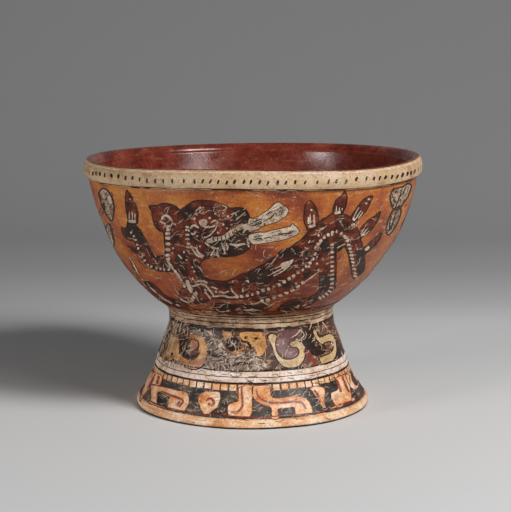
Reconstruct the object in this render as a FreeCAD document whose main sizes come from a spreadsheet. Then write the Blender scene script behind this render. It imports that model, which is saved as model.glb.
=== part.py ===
"""A pedestal bowl of fired clay: a round bowl with a coiled rim, luted to a hollow flaring stand.

Millimetres, +Z up. The origin is on the upright axis, at the middle of the stand's resting face.
Every piece is round about that axis, so each is one section turned through a full circle.
The clay pieces are those that a potter joins before the slip goes on: the bowl, the coil round
its edge, the stand, the roll at the stand's foot, and the lutes smeared into the joint of bowl
and stand, outside and inside. The slips are thin coats over the clay, one for each zone that is
painted all round.
"""
import FreeCAD, Part
import math
import os
import Sketcher

SIZES = [
    # The bowl, as bare clay
    ("wall_radius", 98.8),  # outside of the wall, at its upper edge
    ("bowl_depth", 95.8),  # from the underside of the bowl up to the wall's edge
    ("bowl_wall", 5.0),
    ("belly_share", 0.951),  # radius of the round belly, as a share of wall_radius
    ("side_share", 1.295),  # radius of the flatter side above it, likewise
    # The coil that thickens the rim: it caps the wall's edge and laps down over its outside
    ("coil_radius", 5.9),
    ("coil_inset", 3.6),  # from the wall's outside in to the coil's middle
    ("coil_rise", 2.2),  # from the wall's edge up to the coil's middle
    ("lip_round", 2.2),  # rounding from the coil over into the bowl
    # The stand
    ("stand_height", 46.7),  # from the floor up to the underside of the bowl
    ("stand_wall", 6.0),
    ("neck_radius", 49.1),
    ("foot_radius", 67.2),  # outside of the wall, where the foot's roll begins
    ("neck_bend", 24.0),
    ("ankle_bend", 15.0),
    ("flare_share", 1.055),  # height at which the neck turns into the flank, over stand_height
    ("ankle_height_share", 0.39),  # height of the bend lower down, over stand_height
    ("ankle_out_share", 0.5635),  # how far out that bend is, on the way from neck to foot
    # The roll at the foot
    ("roll_radius", 3.6),
    ("roll_inset", 1.5),  # from the wall's outside in to the roll's middle
    ("roll_sink_share", 0.62),  # height of the roll's middle, over its radius, once pressed flat
    ("roll_inner_round", 1.0),
    # The lutes that fill the joint of bowl and stand
    ("neck_lute_round", 8.0),
    ("joint_bevel", 3.0),  # off the stand's upper outside edge, so that the lute can key in
    ("under_lute_round", 5.0),
    # The slips
    ("slip_coat", 0.4),
    ("slip_hem", 0.8),  # bare clay that the foot's slip leaves above the floor
    ("waist_top_share", 0.664),  # upper edge of the waist's band, over stand_height
    ("waist_foot_share", 0.514),  # its lower edge
]

doc = FreeCAD.newDocument("PedestalBowl")
sheet = doc.addObject("Spreadsheet::Sheet", "Sizes")
for row, (alias, number) in enumerate(SIZES, 1):
    sheet.set(f"A{row}", alias)
    sheet.set(f"B{row}", str(number))
    sheet.setAlias(f"B{row}", alias)
doc.recompute()

# Formulas over the sheet that more than one section uses
BOWL_WALL = "Sizes.bowl_wall"
BELLY = "Sizes.belly_share * Sizes.wall_radius"
SIDE = "Sizes.side_share * Sizes.wall_radius"
INNER_BELLY = f"{BELLY} - {BOWL_WALL}"
INNER_SIDE = f"{SIDE} - {BOWL_WALL}"
POLE_HEIGHT = "Sizes.stand_height"
BELLY_HEIGHT = f"{POLE_HEIGHT} + {BELLY}"
EDGE_HEIGHT = f"{POLE_HEIGHT} + Sizes.bowl_depth"
COIL = "Sizes.coil_radius"
COIL_OUT = "Sizes.wall_radius - Sizes.coil_inset"
COIL_HEIGHT = f"{EDGE_HEIGHT} + Sizes.coil_rise"
LIP = "Sizes.lip_round"
STAND_WALL = "Sizes.stand_wall"
NECK = "Sizes.neck_radius"
INNER_NECK = f"{NECK} - {STAND_WALL}"
FOOT = "Sizes.foot_radius"
FLARE_HEIGHT = "Sizes.flare_share * Sizes.stand_height"
ANKLE_OUT = f"{NECK} + Sizes.ankle_out_share * ({FOOT} - {NECK})"
ANKLE_HEIGHT = "Sizes.ankle_height_share * Sizes.stand_height"
ROLL = "Sizes.roll_radius"
ROLL_OUT = f"{FOOT} - Sizes.roll_inset"
ROLL_HEIGHT = f"Sizes.roll_sink_share * {ROLL}"
FOOT_HEIGHT = f"{ROLL_HEIGHT} + sqrt({ROLL} ^ 2 - Sizes.roll_inset ^ 2)"
BEVEL_SEAT = f"{NECK} - Sizes.joint_bevel"
BEVEL_FOOT = f"{BELLY_HEIGHT} - sqrt(({BELLY}) ^ 2 - {NECK} ^ 2) - Sizes.joint_bevel"
NECK_LUTE = "Sizes.neck_lute_round"
UNDER_LUTE = "Sizes.under_lute_round"
COAT = "Sizes.slip_coat"
HEM = "Sizes.slip_hem"
WAIST_TOP = "Sizes.waist_top_share * Sizes.stand_height"
WAIST_FOOT = "Sizes.waist_foot_share * Sizes.stand_height"

UPRIGHT = FreeCAD.Vector(0, 0, 1)


def value(formula):
    """The number that a formula over the sheet gives."""
    return float(sheet.evalExpression(formula))


def at(x, y):
    """A point of the turning plane: x out from the axis, y up from the floor."""
    return FreeCAD.Vector(x, y, 0)


def toward(start, end, distance):
    """The point that lies this far from start on the way through end."""
    way = end - start
    return start + way * (distance / way.Length)


def leg(long_side, short_side):
    """The third side of a right-angled triangle."""
    return math.sqrt(long_side ** 2 - short_side ** 2)


def crossing(first, radius, second, other_radius, on_left):
    """Where two circles cross, to the left or the right of the way from first to second."""
    way = second - first
    along = (radius ** 2 - other_radius ** 2 + way.Length ** 2) / (2 * way.Length)
    aside = leg(radius, along)
    way.normalize()
    left = at(-way.y, way.x)
    return first + way * along + left * (aside if on_left else -aside)


class Run:
    """One stretch of an outline, from start to end, straight or round about a centre."""

    def __init__(self, start, end, centre=None, size=None):
        self.start, self.end, self.centre, self.size = start, end, centre, size
        self.bends_left = False
        if centre:
            arm, way = start - centre, end - start
            self.bends_left = arm.x * way.y - arm.y * way.x > 0

    def moved_right(self, point, distance):
        """A point of this run, moved square to it, to the right of the way along it."""
        if self.centre:
            arm = (point - self.centre).normalize()
            return point + arm * (distance if self.bends_left else -distance)
        way = (self.end - self.start).normalize()
        return point + at(way.y, -way.x) * distance

    def beside(self, formula, to_right):
        """The run that lies to one side of this one, as far as the formula says."""
        shift = value(formula) * (1 if to_right else -1)
        size = None
        if self.centre:
            size = f"{self.size} {'+' if self.bends_left == to_right else '-'} {formula}"
        return Run(self.moved_right(self.start, shift), self.moved_right(self.end, shift),
                   self.centre, size)


def rounded(before, corner, after, size):
    """The run that rounds a corner with the radius that a formula gives."""
    back, onward = (before - corner).normalize(), (after - corner).normalize()
    half = back.getAngle(onward) / 2
    reach = value(size) / math.tan(half)
    middle = (back + onward).normalize() * (value(size) / math.sin(half))
    return Run(corner + back * reach, corner + onward * reach, corner + middle, size)


class Edge:
    """A run drawn in a sketch, with its ends in the order in which the outline passes them."""

    def __init__(self, index, run):
        self.index, self.run = index, run
        drawn_backwards = bool(run.centre) and not run.bends_left
        self.first = (index, 2 if drawn_backwards else 1)
        self.last = (index, 1 if drawn_backwards else 2)
        self.centre = (index, 3)


class Section:
    """A closed outline on a body's XZ plane, turned about the upright axis into one piece."""

    def __init__(self, label):
        self.body = doc.addObject("PartDesign::Body", label)
        self.sketch = self.body.newObject("Sketcher::SketchObject", label + "_section")
        plane = next(f for f in self.body.Origin.OriginFeatures if f.Role == "XZ_Plane")
        self.sketch.AttachmentSupport = [(plane, "")]
        self.sketch.MapMode = "FlatFace"

    def hold(self, *constraint):
        return self.sketch.addConstraint(Sketcher.Constraint(*constraint))

    def bind(self, formula, *constraint):
        """A dimension whose size is a formula over the sheet."""
        index = self.hold(*constraint, value(formula))
        self.sketch.setExpression(f"Constraints[{index}]", formula)

    def touch(self, point, other):
        self.hold("Coincident", *point, *other)

    def glide(self, edge, following):
        """The outline runs on smoothly from one edge into the next."""
        self.hold("Tangent", *edge.last, *following.first)

    def on(self, point, edge):
        self.hold("PointOnObject", *point, edge.index)

    def on_axis(self, point):
        """The sketch counts its own upright axis as edge -2."""
        self.hold("PointOnObject", *point, -2)

    def on_floor(self, point):
        """The sketch counts its own level axis as edge -1."""
        self.hold("PointOnObject", *point, -1)

    def out(self, point, formula):
        """A distance out from the sketch's origin, which it counts as point 1 of edge -1."""
        self.bind(formula, "DistanceX", -1, 1, *point)

    def up(self, point, formula):
        self.bind(formula, "DistanceY", -1, 1, *point)

    def centre_at(self, edge, out, up):
        self.out(edge.centre, out)
        self.up(edge.centre, up)

    def size(self, edge):
        self.bind(edge.run.size, "Radius", edge.index)

    def mark(self, point, out, up):
        """A guide point, by its distance out from the axis and its height."""
        mark = self.sketch.addGeometry(Part.Point(point), True), 1
        self.out(mark, out)
        self.up(mark, up)
        return mark

    def circle(self, centre, size):
        """A guide circle."""
        index = self.sketch.addGeometry(Part.Circle(centre, UPRIGHT, value(size)), True)
        self.bind(size, "Radius", index)
        return Edge(index, Run(centre, centre))

    def draw(self, run, guide=False):
        if run.centre:
            circle = Part.Circle(run.centre, UPRIGHT, (run.start - run.centre).Length)
            ends = (run.start, run.end) if run.bends_left else (run.end, run.start)
            turns = [math.atan2(p.y - run.centre.y, p.x - run.centre.x) for p in ends]
            shape = Part.ArcOfCircle(circle, *turns)
        else:
            shape = Part.LineSegment(run.start, run.end)
        return Edge(self.sketch.addGeometry(shape, guide), run)

    def link(self, start, end, *points, guide=False):
        """A straight edge between two points that are already drawn."""
        edge = self.draw(Run(*points), guide)
        self.touch(edge.first, start)
        self.touch(edge.last, end)
        return edge

    def spoke(self, edge):
        """The guide line from an arc's centre to the end of the arc."""
        return self.link(edge.centre, edge.last, edge.run.centre, edge.run.end, guide=True)

    def beside(self, edges, formula, to_right):
        """Copies of smoothly joined edges, all moved square to them by one distance."""
        copies = []
        for edge in edges:
            copy = self.draw(edge.run.beside(formula, to_right))
            before = copies[-1] if copies else None
            if edge.run.centre:
                self.size(copy)
            if edge.run.centre and before and before.run.centre:
                self.on(before.last, self.spoke(edges[len(copies) - 1]))
            elif edge.run.centre:
                self.touch(copy.centre, edge.centre)
            if before:
                self.glide(before, copy)
            copies.append(copy)
        return copies

    def cap(self, edge, point, copy_point, start, end):
        """The straight end of a coat, square to the edge that the coat lies on."""
        cap = self.link(point, copy_point, start, end)
        if edge.run.centre:
            self.on(edge.centre, cap)
        else:
            self.hold("Perpendicular", cap.index, edge.index)
            self.bind(COAT, "Distance", cap.index)

    def cap_start(self, edge, copy):
        self.cap(edge, edge.first, copy.first, edge.run.start, copy.run.start)

    def cap_end(self, edge, copy):
        self.cap(edge, edge.last, copy.last, edge.run.end, copy.run.end)

    def turn(self):
        revolution = self.body.newObject("PartDesign::Revolution", self.body.Label + "_turned")
        revolution.Profile = (self.sketch, [""])
        revolution.ReferenceAxis = (self.sketch, ["V_Axis"])
        revolution.Angle = 360
        return self.body


# Points of the bowl
pole = at(0, value(POLE_HEIGHT))
inner_pole = at(0, value(f"{POLE_HEIGHT} + {BOWL_WALL}"))
belly_centre = at(0, value(BELLY_HEIGHT))
wall_edge = at(value("Sizes.wall_radius"), value(EDGE_HEIGHT))
side_centre = crossing(belly_centre, value(f"{SIDE} - ({BELLY})"), wall_edge, value(SIDE), True)
belly_end = toward(side_centre, belly_centre, value(SIDE))
inner_belly_end = toward(side_centre, belly_centre, value(INNER_SIDE))
edge_drop = wall_edge.y - side_centre.y
inner_edge = side_centre + at(leg(value(INNER_SIDE), edge_drop), edge_drop)

# Points of the rim's coil, and the point where the coats of coil and wall meet under it
coil_centre = at(value(COIL_OUT), value(COIL_HEIGHT))
coil_foot = crossing(side_centre, value(SIDE), coil_centre, value(COIL), False)
coil_coat_foot = crossing(side_centre, value(f"{SIDE} + {COAT}"),
                          coil_centre, value(f"{COIL} + {COAT}"), False)
lip_centre = crossing(coil_centre, value(f"{COIL} - {LIP}"),
                      side_centre, value(f"{INNER_SIDE} + {LIP}"), False)
lip_start = toward(coil_centre, lip_centre, value(COIL))
lip_end = toward(side_centre, lip_centre, value(INNER_SIDE))


def under_bowl(out, gap="0"):
    """The height of a point this far out from the axis and this far below the belly."""
    return belly_centre.y - leg(value(f"{BELLY} + {gap}"), out)


# Points of the stand and of the roll at its foot
bevel_foot = at(value(NECK), value(BEVEL_FOOT))
bevel_seat = at(value(BEVEL_SEAT), under_bowl(value(BEVEL_SEAT)))
inner_neck_top = at(value(INNER_NECK), under_bowl(value(INNER_NECK)))
flare = at(value(NECK), value(FLARE_HEIGHT))
ankle = at(value(ANKLE_OUT), value(ANKLE_HEIGHT))
roll_centre = at(value(ROLL_OUT), value(ROLL_HEIGHT))
foot = at(value(FOOT), value(FOOT_HEIGHT))
roll_tread = at(roll_centre.x + leg(value(ROLL), roll_centre.y), 0)
roll_hem = at(roll_centre.x + leg(value(ROLL), roll_centre.y - value(HEM)), value(HEM))
neck_bend = rounded(ankle, flare, bevel_foot, "Sizes.neck_bend")
ankle_bend = rounded(foot, ankle, flare, "Sizes.ankle_bend")


def on_flank(height):
    """The point of the stand's straight flank at the height that a formula gives."""
    return flare + (ankle - flare) * ((value(height) - flare.y) / (ankle.y - flare.y))


waist_top, waist_foot = on_flank(WAIST_TOP), on_flank(WAIST_FOOT)

# The rounds of the lutes, each tangent to the belly and to one side of the neck
neck_lute_out = value(f"{NECK} + {NECK_LUTE}")
neck_lute_centre = at(neck_lute_out, under_bowl(neck_lute_out, NECK_LUTE))
neck_lute = Run(at(bevel_foot.x, neck_lute_centre.y),
                toward(belly_centre, neck_lute_centre, value(BELLY)), neck_lute_centre, NECK_LUTE)
under_lute_out = value(f"{INNER_NECK} - {UNDER_LUTE}")
under_lute_centre = at(under_lute_out, under_bowl(under_lute_out, UNDER_LUTE))
under_lute = Run(toward(belly_centre, under_lute_centre, value(BELLY)),
                 at(inner_neck_top.x, under_lute_centre.y), under_lute_centre, UNDER_LUTE)


def fix_belly(section, belly):
    """An arc that lies on the belly."""
    section.on_axis(belly.centre)
    section.up(belly.centre, BELLY_HEIGHT)
    section.size(belly)


def draw_bowl_line(section, guide=True):
    """The bowl's outside, from the axis to the wall's edge: the belly, then the side."""
    belly = section.draw(Run(pole, belly_end, belly_centre, BELLY), guide)
    side = section.draw(Run(belly_end, wall_edge, side_centre, SIDE), guide)
    fix_belly(section, belly)
    section.on_axis(belly.first)
    section.glide(belly, side)
    section.size(side)
    section.out(side.last, "Sizes.wall_radius")
    section.up(side.last, EDGE_HEIGHT)
    return belly, side


def draw_coil_circle(section, size):
    circle = section.circle(coil_centre, size)
    section.centre_at(circle, COIL_OUT, COIL_HEIGHT)
    return circle


def draw_roll_circle(section, size):
    circle = section.circle(roll_centre, size)
    section.centre_at(circle, ROLL_OUT, ROLL_HEIGHT)
    return circle


def draw_flank(section, start, end, guide=False):
    """A stretch of the stand's flank, in line with the corners that its two bends round."""
    flank = section.draw(Run(start, end), guide)
    section.on(section.mark(ankle, ANKLE_OUT, ANKLE_HEIGHT), flank)
    section.on(section.mark(flare, NECK, FLARE_HEIGHT), flank)
    return flank


def draw_neck_bend(section, flank, guide=False):
    """The bend from the flank up into the upright neck."""
    bend = section.draw(neck_bend, guide)
    section.size(bend)
    section.out(bend.centre, f"{NECK} + Sizes.neck_bend")
    section.hold("Horizontal", *bend.last, *bend.centre)
    section.glide(flank, bend)
    return bend


def draw_foot_line(section, flank_end):
    """The stand's outside, from the roll up round the ankle's bend and along the flank."""
    lower = section.draw(Run(foot, ankle_bend.start))
    bend = section.draw(ankle_bend)
    flank = draw_flank(section, ankle_bend.end, flank_end)
    section.out(lower.first, FOOT)
    section.up(lower.first, FOOT_HEIGHT)
    section.on(section.mark(ankle, ANKLE_OUT, ANKLE_HEIGHT), lower)
    section.glide(lower, bend)
    section.size(bend)
    section.glide(bend, flank)
    return lower, bend, flank


def draw_slope(section, foot_point):
    """The guide line of the stand's wall below the ankle."""
    slope = section.draw(Run(foot, ankle), guide=True)
    section.touch(slope.first, foot_point)
    section.out(slope.last, ANKLE_OUT)
    section.up(slope.last, ANKLE_HEIGHT)
    return slope


def make_bowl():
    """The bowl: a round belly that runs on into flatter sides, with a wall as thick all over."""
    section = Section("bowl")
    belly, side = draw_bowl_line(section, guide=False)
    inner_belly, inner_side = section.beside([belly, side], BOWL_WALL, to_right=False)
    section.on_axis(inner_belly.first)
    section.up(inner_side.last, EDGE_HEIGHT)
    section.link(side.last, inner_side.last, wall_edge, inner_edge)
    section.link(inner_belly.first, belly.first, inner_pole, pole)
    return section.turn()


def make_rim_coil():
    """The coil that caps the wall's edge, laps over its outside and ends the inside smoothly."""
    section = Section("rim_coil")
    side = draw_bowl_line(section)[1]
    lap = section.draw(Run(coil_foot, wall_edge, side_centre, SIDE))
    coil = section.draw(Run(coil_foot, lip_start, coil_centre, COIL))
    lip = section.draw(Run(lip_start, lip_end, lip_centre, LIP))
    inner = section.draw(Run(lip_end, inner_edge, side_centre, INNER_SIDE))
    section.touch(lap.centre, side.centre)
    section.touch(lap.last, side.last)
    section.touch(lap.first, coil.first)
    section.size(coil)
    section.centre_at(coil, COIL_OUT, COIL_HEIGHT)
    section.glide(coil, lip)
    section.size(lip)
    section.glide(lip, inner)
    section.touch(inner.centre, side.centre)
    section.size(inner)
    section.up(inner.last, EDGE_HEIGHT)
    section.link(inner.last, lap.last, inner_edge, wall_edge)
    return section.turn()


def make_stand():
    """The hollow stand: a flared foot, a straight flank and an upright neck, cut to the belly."""
    section = Section("stand")
    lower, ankle_arc, flank = draw_foot_line(section, neck_bend.start)
    neck_arc = draw_neck_bend(section, flank)
    upper = section.draw(Run(neck_bend.end, bevel_foot))
    seat = section.draw(Run(inner_neck_top, bevel_seat, belly_centre, BELLY))
    section.touch(neck_arc.last, upper.first)
    section.hold("Vertical", upper.index)
    section.up(upper.last, BEVEL_FOOT)
    fix_belly(section, seat)
    section.out(seat.last, BEVEL_SEAT)
    section.link(upper.last, seat.last, bevel_foot, bevel_seat)
    inside = section.beside([lower, ankle_arc, flank, neck_arc, upper], STAND_WALL, to_right=False)
    section.hold("Parallel", inside[0].index, lower.index)
    section.hold("Vertical", inside[-1].index)
    section.touch(inside[-1].last, seat.first)
    bottom = section.link(inside[0].first, lower.first, inside[0].run.start, foot)
    section.hold("Horizontal", bottom.index)
    return section.turn()


def make_foot_roll():
    """The roll of clay at the stand's foot, pressed flat where it rests."""
    section = Section("foot_roll")
    roll = section.draw(Run(roll_tread, foot, roll_centre, ROLL))
    section.centre_at(roll, ROLL_OUT, ROLL_HEIGHT)
    section.on_floor(roll.first)
    section.out(roll.last, FOOT)
    section.up(roll.last, FOOT_HEIGHT)
    slope = draw_slope(section, roll.last)
    offset = slope.run.beside(STAND_WALL, to_right=False)
    fall = (offset.start - offset.end) * (1 / (offset.end.y - offset.start.y))
    inner_foot = offset.start - fall * (foot.y - offset.start.y)
    tread_corner = inner_foot + fall * inner_foot.y
    turned_under = rounded(inner_foot, tread_corner, roll_tread, "Sizes.roll_inner_round")
    inner = section.draw(Run(inner_foot, turned_under.start))
    corner = section.draw(turned_under)
    tread = section.draw(Run(turned_under.end, roll_tread))
    top = section.link(roll.last, inner.first, foot, inner_foot)
    section.hold("Horizontal", top.index)
    section.hold("Parallel", inner.index, slope.index)
    section.bind(STAND_WALL, "Distance", *inner.first, slope.index)
    section.glide(inner, corner)
    section.size(corner)
    section.glide(corner, tread)
    section.hold("Horizontal", tread.index)
    section.touch(tread.last, roll.first)
    return section.turn()


def make_neck_lute():
    """The clay pressed into the bevelled joint of neck and belly, and smeared over it."""
    section = Section("neck_lute")
    lute = section.draw(neck_lute)
    belly = section.draw(Run(neck_lute.end, bevel_seat, belly_centre, BELLY))
    wall = section.draw(Run(bevel_foot, neck_lute.start))
    fix_belly(section, belly)
    section.out(belly.last, BEVEL_SEAT)
    section.link(belly.last, wall.first, bevel_seat, bevel_foot)
    section.hold("Vertical", wall.index)
    section.out(wall.first, NECK)
    section.up(wall.first, BEVEL_FOOT)
    section.glide(wall, lute)
    section.size(lute)
    section.glide(lute, belly)
    return section.turn()


def make_under_lute():
    """The thicker lute inside the stand, pressed in with a finger."""
    section = Section("under_lute")
    lute = section.draw(under_lute)
    wall = section.draw(Run(under_lute.end, inner_neck_top))
    belly = section.draw(Run(inner_neck_top, under_lute.start, belly_centre, BELLY))
    fix_belly(section, belly)
    section.touch(wall.last, belly.first)
    section.hold("Vertical", wall.index)
    section.out(wall.first, INNER_NECK)
    section.glide(lute, wall)
    section.size(lute)
    section.glide(belly, lute)
    return section.turn()


def make_interior_slip():
    """The burnished slip that lines the bowl and ends on top of the lip."""
    section = Section("interior_slip")
    outer_belly, outer_side = draw_bowl_line(section)
    coil = draw_coil_circle(section, COIL)
    belly = section.draw(Run(inner_pole, inner_belly_end, belly_centre, INNER_BELLY))
    side = section.draw(Run(inner_belly_end, lip_end, side_centre, INNER_SIDE))
    lip = section.draw(Run(lip_end, lip_start, lip_centre, LIP))
    section.touch(belly.centre, outer_belly.centre)
    section.size(belly)
    section.on_axis(belly.first)
    section.on(belly.last, section.spoke(outer_belly))
    section.glide(belly, side)
    section.size(side)
    section.glide(side, lip)
    section.size(lip)
    section.hold("Tangent", *lip.last, coil.index)
    lining = section.beside([belly, side, lip], COAT, to_right=False)
    section.on_axis(lining[0].first)
    section.link(belly.first, lining[0].first, inner_pole, lining[0].run.start)
    section.cap_end(lip, lining[2])
    return section.turn()


def make_rim_slip():
    """The pale band over the rim's coil, from the lip down to the wall."""
    section = Section("rim_slip")
    side = draw_bowl_line(section)[1]
    inside = section.circle(side_centre, INNER_SIDE)
    wall_coat = section.circle(side_centre, f"{SIDE} + {COAT}")
    section.touch(inside.centre, side.centre)
    section.touch(wall_coat.centre, side.centre)
    coil = section.draw(Run(coil_foot, lip_start, coil_centre, COIL))
    lip = section.draw(Run(lip_start, lip_end, lip_centre, LIP), guide=True)
    section.size(coil)
    section.centre_at(coil, COIL_OUT, COIL_HEIGHT)
    section.on(coil.first, side)
    section.glide(coil, lip)
    section.size(lip)
    section.hold("Tangent", *lip.last, inside.index)
    coat, = section.beside([coil], COAT, to_right=True)
    section.on(coat.first, wall_coat)
    section.link(coil.first, coat.first, coil_foot, coil_coat_foot)
    section.cap_end(coil, coat)
    return section.turn()


def make_wall_slip():
    """The warm ground slip of the bowl's outside, from the neck's lute up to the coil."""
    section = Section("wall_slip")
    coil = draw_coil_circle(section, COIL)
    coil_coat = draw_coil_circle(section, f"{COIL} + {COAT}")
    lute = section.circle(neck_lute_centre, NECK_LUTE)
    section.out(lute.centre, f"{NECK} + {NECK_LUTE}")
    belly = section.draw(Run(neck_lute.end, belly_end, belly_centre, BELLY))
    side = section.draw(Run(belly_end, coil_foot, side_centre, SIDE))
    fix_belly(section, belly)
    section.hold("Tangent", *belly.first, lute.index)
    section.glide(belly, side)
    section.size(side)
    section.on(section.mark(wall_edge, "Sizes.wall_radius", EDGE_HEIGHT), side)
    section.on(side.last, coil)
    coat = section.beside([belly, side], COAT, to_right=True)
    section.cap_start(belly, coat[0])
    section.on(coat[1].last, coil_coat)
    section.link(side.last, coat[1].last, coil_foot, coil_coat_foot)
    return section.turn()


def make_neck_slip():
    """The pale band round the neck, over the lute."""
    section = Section("neck_slip")
    flank = draw_flank(section, ankle, neck_bend.start, guide=True)
    section.up(flank.first, ANKLE_HEIGHT)
    bend = draw_neck_bend(section, flank, guide=True)
    belly = section.circle(belly_centre, BELLY)
    section.on_axis(belly.centre)
    section.up(belly.centre, BELLY_HEIGHT)
    upright = section.draw(Run(neck_bend.end, neck_lute.start))
    lute = section.draw(neck_lute)
    section.touch(bend.last, upright.first)
    section.hold("Vertical", upright.index)
    section.glide(upright, lute)
    section.size(lute)
    section.hold("Tangent", *lute.last, belly.index)
    coat = section.beside([upright, lute], COAT, to_right=True)
    section.cap_start(upright, coat[0])
    section.cap_end(lute, coat[1])
    return section.turn()


def make_scroll_slip():
    """The dark ground of the scroll frieze, from the waist's band up to the neck's."""
    section = Section("scroll_slip")
    flank = draw_flank(section, waist_top, neck_bend.start)
    section.up(flank.first, WAIST_TOP)
    bend = draw_neck_bend(section, flank)
    coat = section.beside([flank, bend], COAT, to_right=True)
    section.cap_start(flank, coat[0])
    section.cap_end(bend, coat[1])
    return section.turn()


def make_waist_slip():
    """The pale band round the stand's waist."""
    section = Section("waist_slip")
    flank = draw_flank(section, waist_foot, waist_top)
    section.up(flank.first, WAIST_FOOT)
    section.up(flank.last, WAIST_TOP)
    coat, = section.beside([flank], COAT, to_right=True)
    section.cap_start(flank, coat)
    section.cap_end(flank, coat)
    return section.turn()


def make_fret_slip():
    """The dark ground of the fret frieze, from the foot's roll up to the waist's band."""
    section = Section("fret_slip")
    lower, bend, flank = draw_foot_line(section, waist_foot)
    section.up(flank.last, WAIST_FOOT)
    coat = section.beside([lower, bend, flank], COAT, to_right=True)
    section.on(coat[0].first, draw_roll_circle(section, f"{ROLL} + {COAT}"))
    section.bind(COAT, "Distance", *coat[0].first, lower.index)
    section.link(lower.first, coat[0].first, foot, coat[0].run.start)
    section.cap_end(flank, coat[2])
    return section.turn()


def make_roll_slip():
    """The plain warm slip over the foot's roll, which stops short of the floor."""
    section = Section("roll_slip")
    roll = section.draw(Run(roll_hem, foot, roll_centre, ROLL))
    section.centre_at(roll, ROLL_OUT, ROLL_HEIGHT)
    section.up(roll.first, HEM)
    section.out(roll.last, FOOT)
    section.up(roll.last, FOOT_HEIGHT)
    slope = draw_slope(section, roll.last)
    coat, = section.beside([roll], COAT, to_right=True)
    section.bind(COAT, "Distance", *coat.last, slope.index)
    section.link(roll.last, coat.last, foot, coat.run.end)
    section.cap_start(roll, coat)
    return section.turn()


pieces = [
    make_bowl(),
    make_rim_coil(),
    make_stand(),
    make_foot_roll(),
    make_neck_lute(),
    make_under_lute(),
    make_interior_slip(),
    make_rim_slip(),
    make_wall_slip(),
    make_neck_slip(),
    make_scroll_slip(),
    make_waist_slip(),
    make_fret_slip(),
    make_roll_slip(),
]
doc.recompute()

for thing in doc.Objects:
    for trouble in ("Invalid", "Error"):
        if trouble in thing.State:
            raise RuntimeError(f"{thing.Label} is in state {thing.State}")
for piece in pieces:
    if piece.Shape.isNull() or not piece.Shape.isValid() or len(piece.Shape.Solids) != 1:
        raise RuntimeError(f"{piece.Label} isn't one sound solid")

os.makedirs("parts", exist_ok=True)
for piece in pieces:
    piece.Shape.exportStep(f"parts/{piece.Label}.step")
    print(f"{piece.Label}: {piece.Shape.Volume:.0f} mm3")
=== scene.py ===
"""A hand-built, slip-painted pedestal bowl: the finish over the clay pieces of the frame.

Metres, +Z up. The clay and its coats are turned sections in millimetres, made uneven as hands
leave them. The painting is drawn as thin sheets of slip: each outline is a list of pixels of the
photograph (511 x 512), which a ray through the camera carries onto the pot's outside.
"""
import math
import random
from bisect import bisect_left

import bpy
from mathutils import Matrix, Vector, geometry, noise


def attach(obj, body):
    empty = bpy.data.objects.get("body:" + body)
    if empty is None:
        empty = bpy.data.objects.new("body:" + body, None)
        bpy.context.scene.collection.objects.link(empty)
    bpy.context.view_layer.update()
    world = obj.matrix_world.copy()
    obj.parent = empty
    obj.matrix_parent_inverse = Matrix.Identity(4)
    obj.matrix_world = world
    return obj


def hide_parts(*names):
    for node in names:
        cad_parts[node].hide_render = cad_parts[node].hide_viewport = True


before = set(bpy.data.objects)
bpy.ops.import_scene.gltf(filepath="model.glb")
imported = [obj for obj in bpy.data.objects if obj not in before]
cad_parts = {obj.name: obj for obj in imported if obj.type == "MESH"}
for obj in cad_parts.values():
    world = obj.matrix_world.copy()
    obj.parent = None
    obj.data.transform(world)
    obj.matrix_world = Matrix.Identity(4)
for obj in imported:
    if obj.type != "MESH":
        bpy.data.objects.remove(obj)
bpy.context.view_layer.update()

hand = random.Random(7)

MM = 0.001
BODY = "root"

# The camera of the photograph
IMAGE_WIDTH, IMAGE_HEIGHT = 511, 512
LENS, SENSOR = 107.93, 36.0
LENS_PLACE = Vector((0.00288, -0.9224, 0.2313))
LOOKS_DOWN = math.radians(8.735)
FOCAL_PIXELS = LENS / SENSOR * IMAGE_HEIGHT


# Unevenness of a pot that was coiled and scraped by hand

# Marks of height and length, in millimetres: the lean to the right, and the stand's spread
DRIFT = ((0, 1.0), (30, 0.4), (50, 0.4), (66, -0.5), (86, 0.4), (110, 1.6), (130, 1.4), (151, 1.5))
SPREAD = ((0, 1.3), (20, 1.4), (36, 1.35), (50, 0.9), (60, 0.5), (74, 0.0), (151, 0.0))
RIM_HEIGHT = 150.7 * MM
RIM_WAVES = ((0, 0.45, 0), (1, 0.85, 7), (2, 0.45, 27))  # count, height in millimetres, crest's angle
FRONT_WAVE = (3, 1.4, 65)  # likewise, but only on the side towards the camera
LUMP, LUMP_SPAN = 0.45 * MM, 34 * MM
DENT, DENT_SPAN = 0.12 * MM, 9 * MM
GIRTH = 70 * MM  # radius of the circle that the lumps are read along
CALM = 20 * MM  # radius inside which the lumps die away towards the axis


def eased(marks, height):
    """A length at a height, going smoothly from mark to mark."""
    level = min(max(height / MM, 0), marks[-1][0])
    for (low, before), (high, after) in zip(marks, marks[1:]):
        if level <= high:
            share = (level - low) / (high - low)
            ease = share * share * (3 - 2 * share)
            return (before + (after - before) * ease) * MM


def drift(height):
    """How far the pot leans to the right at a height."""
    return eased(DRIFT, height)


def wave(turn, count, top, crest):
    """One of the waves that the rim goes through on its way round."""
    return top * MM * math.cos(count * turn - math.radians(crest))


def rise(turn, height):
    """How far the rim waves up and down, which dies away towards the floor."""
    front = max(0, -math.sin(turn))
    waves = sum(wave(turn, *each) for each in RIM_WAVES) + front * wave(turn, *FRONT_WAVE)
    return waves * (height / RIM_HEIGHT) ** 2


def lumps(turn, height):
    """How far the wall stands out: the hands' dents, and the stand's spread under the wet bowl."""
    place = Vector((math.cos(turn) * GIRTH, math.sin(turn) * GIRTH, height))
    dents = LUMP * noise.noise(place / LUMP_SPAN) + DENT * noise.noise(place / DENT_SPAN)
    return dents + eased(SPREAD, height)


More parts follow.
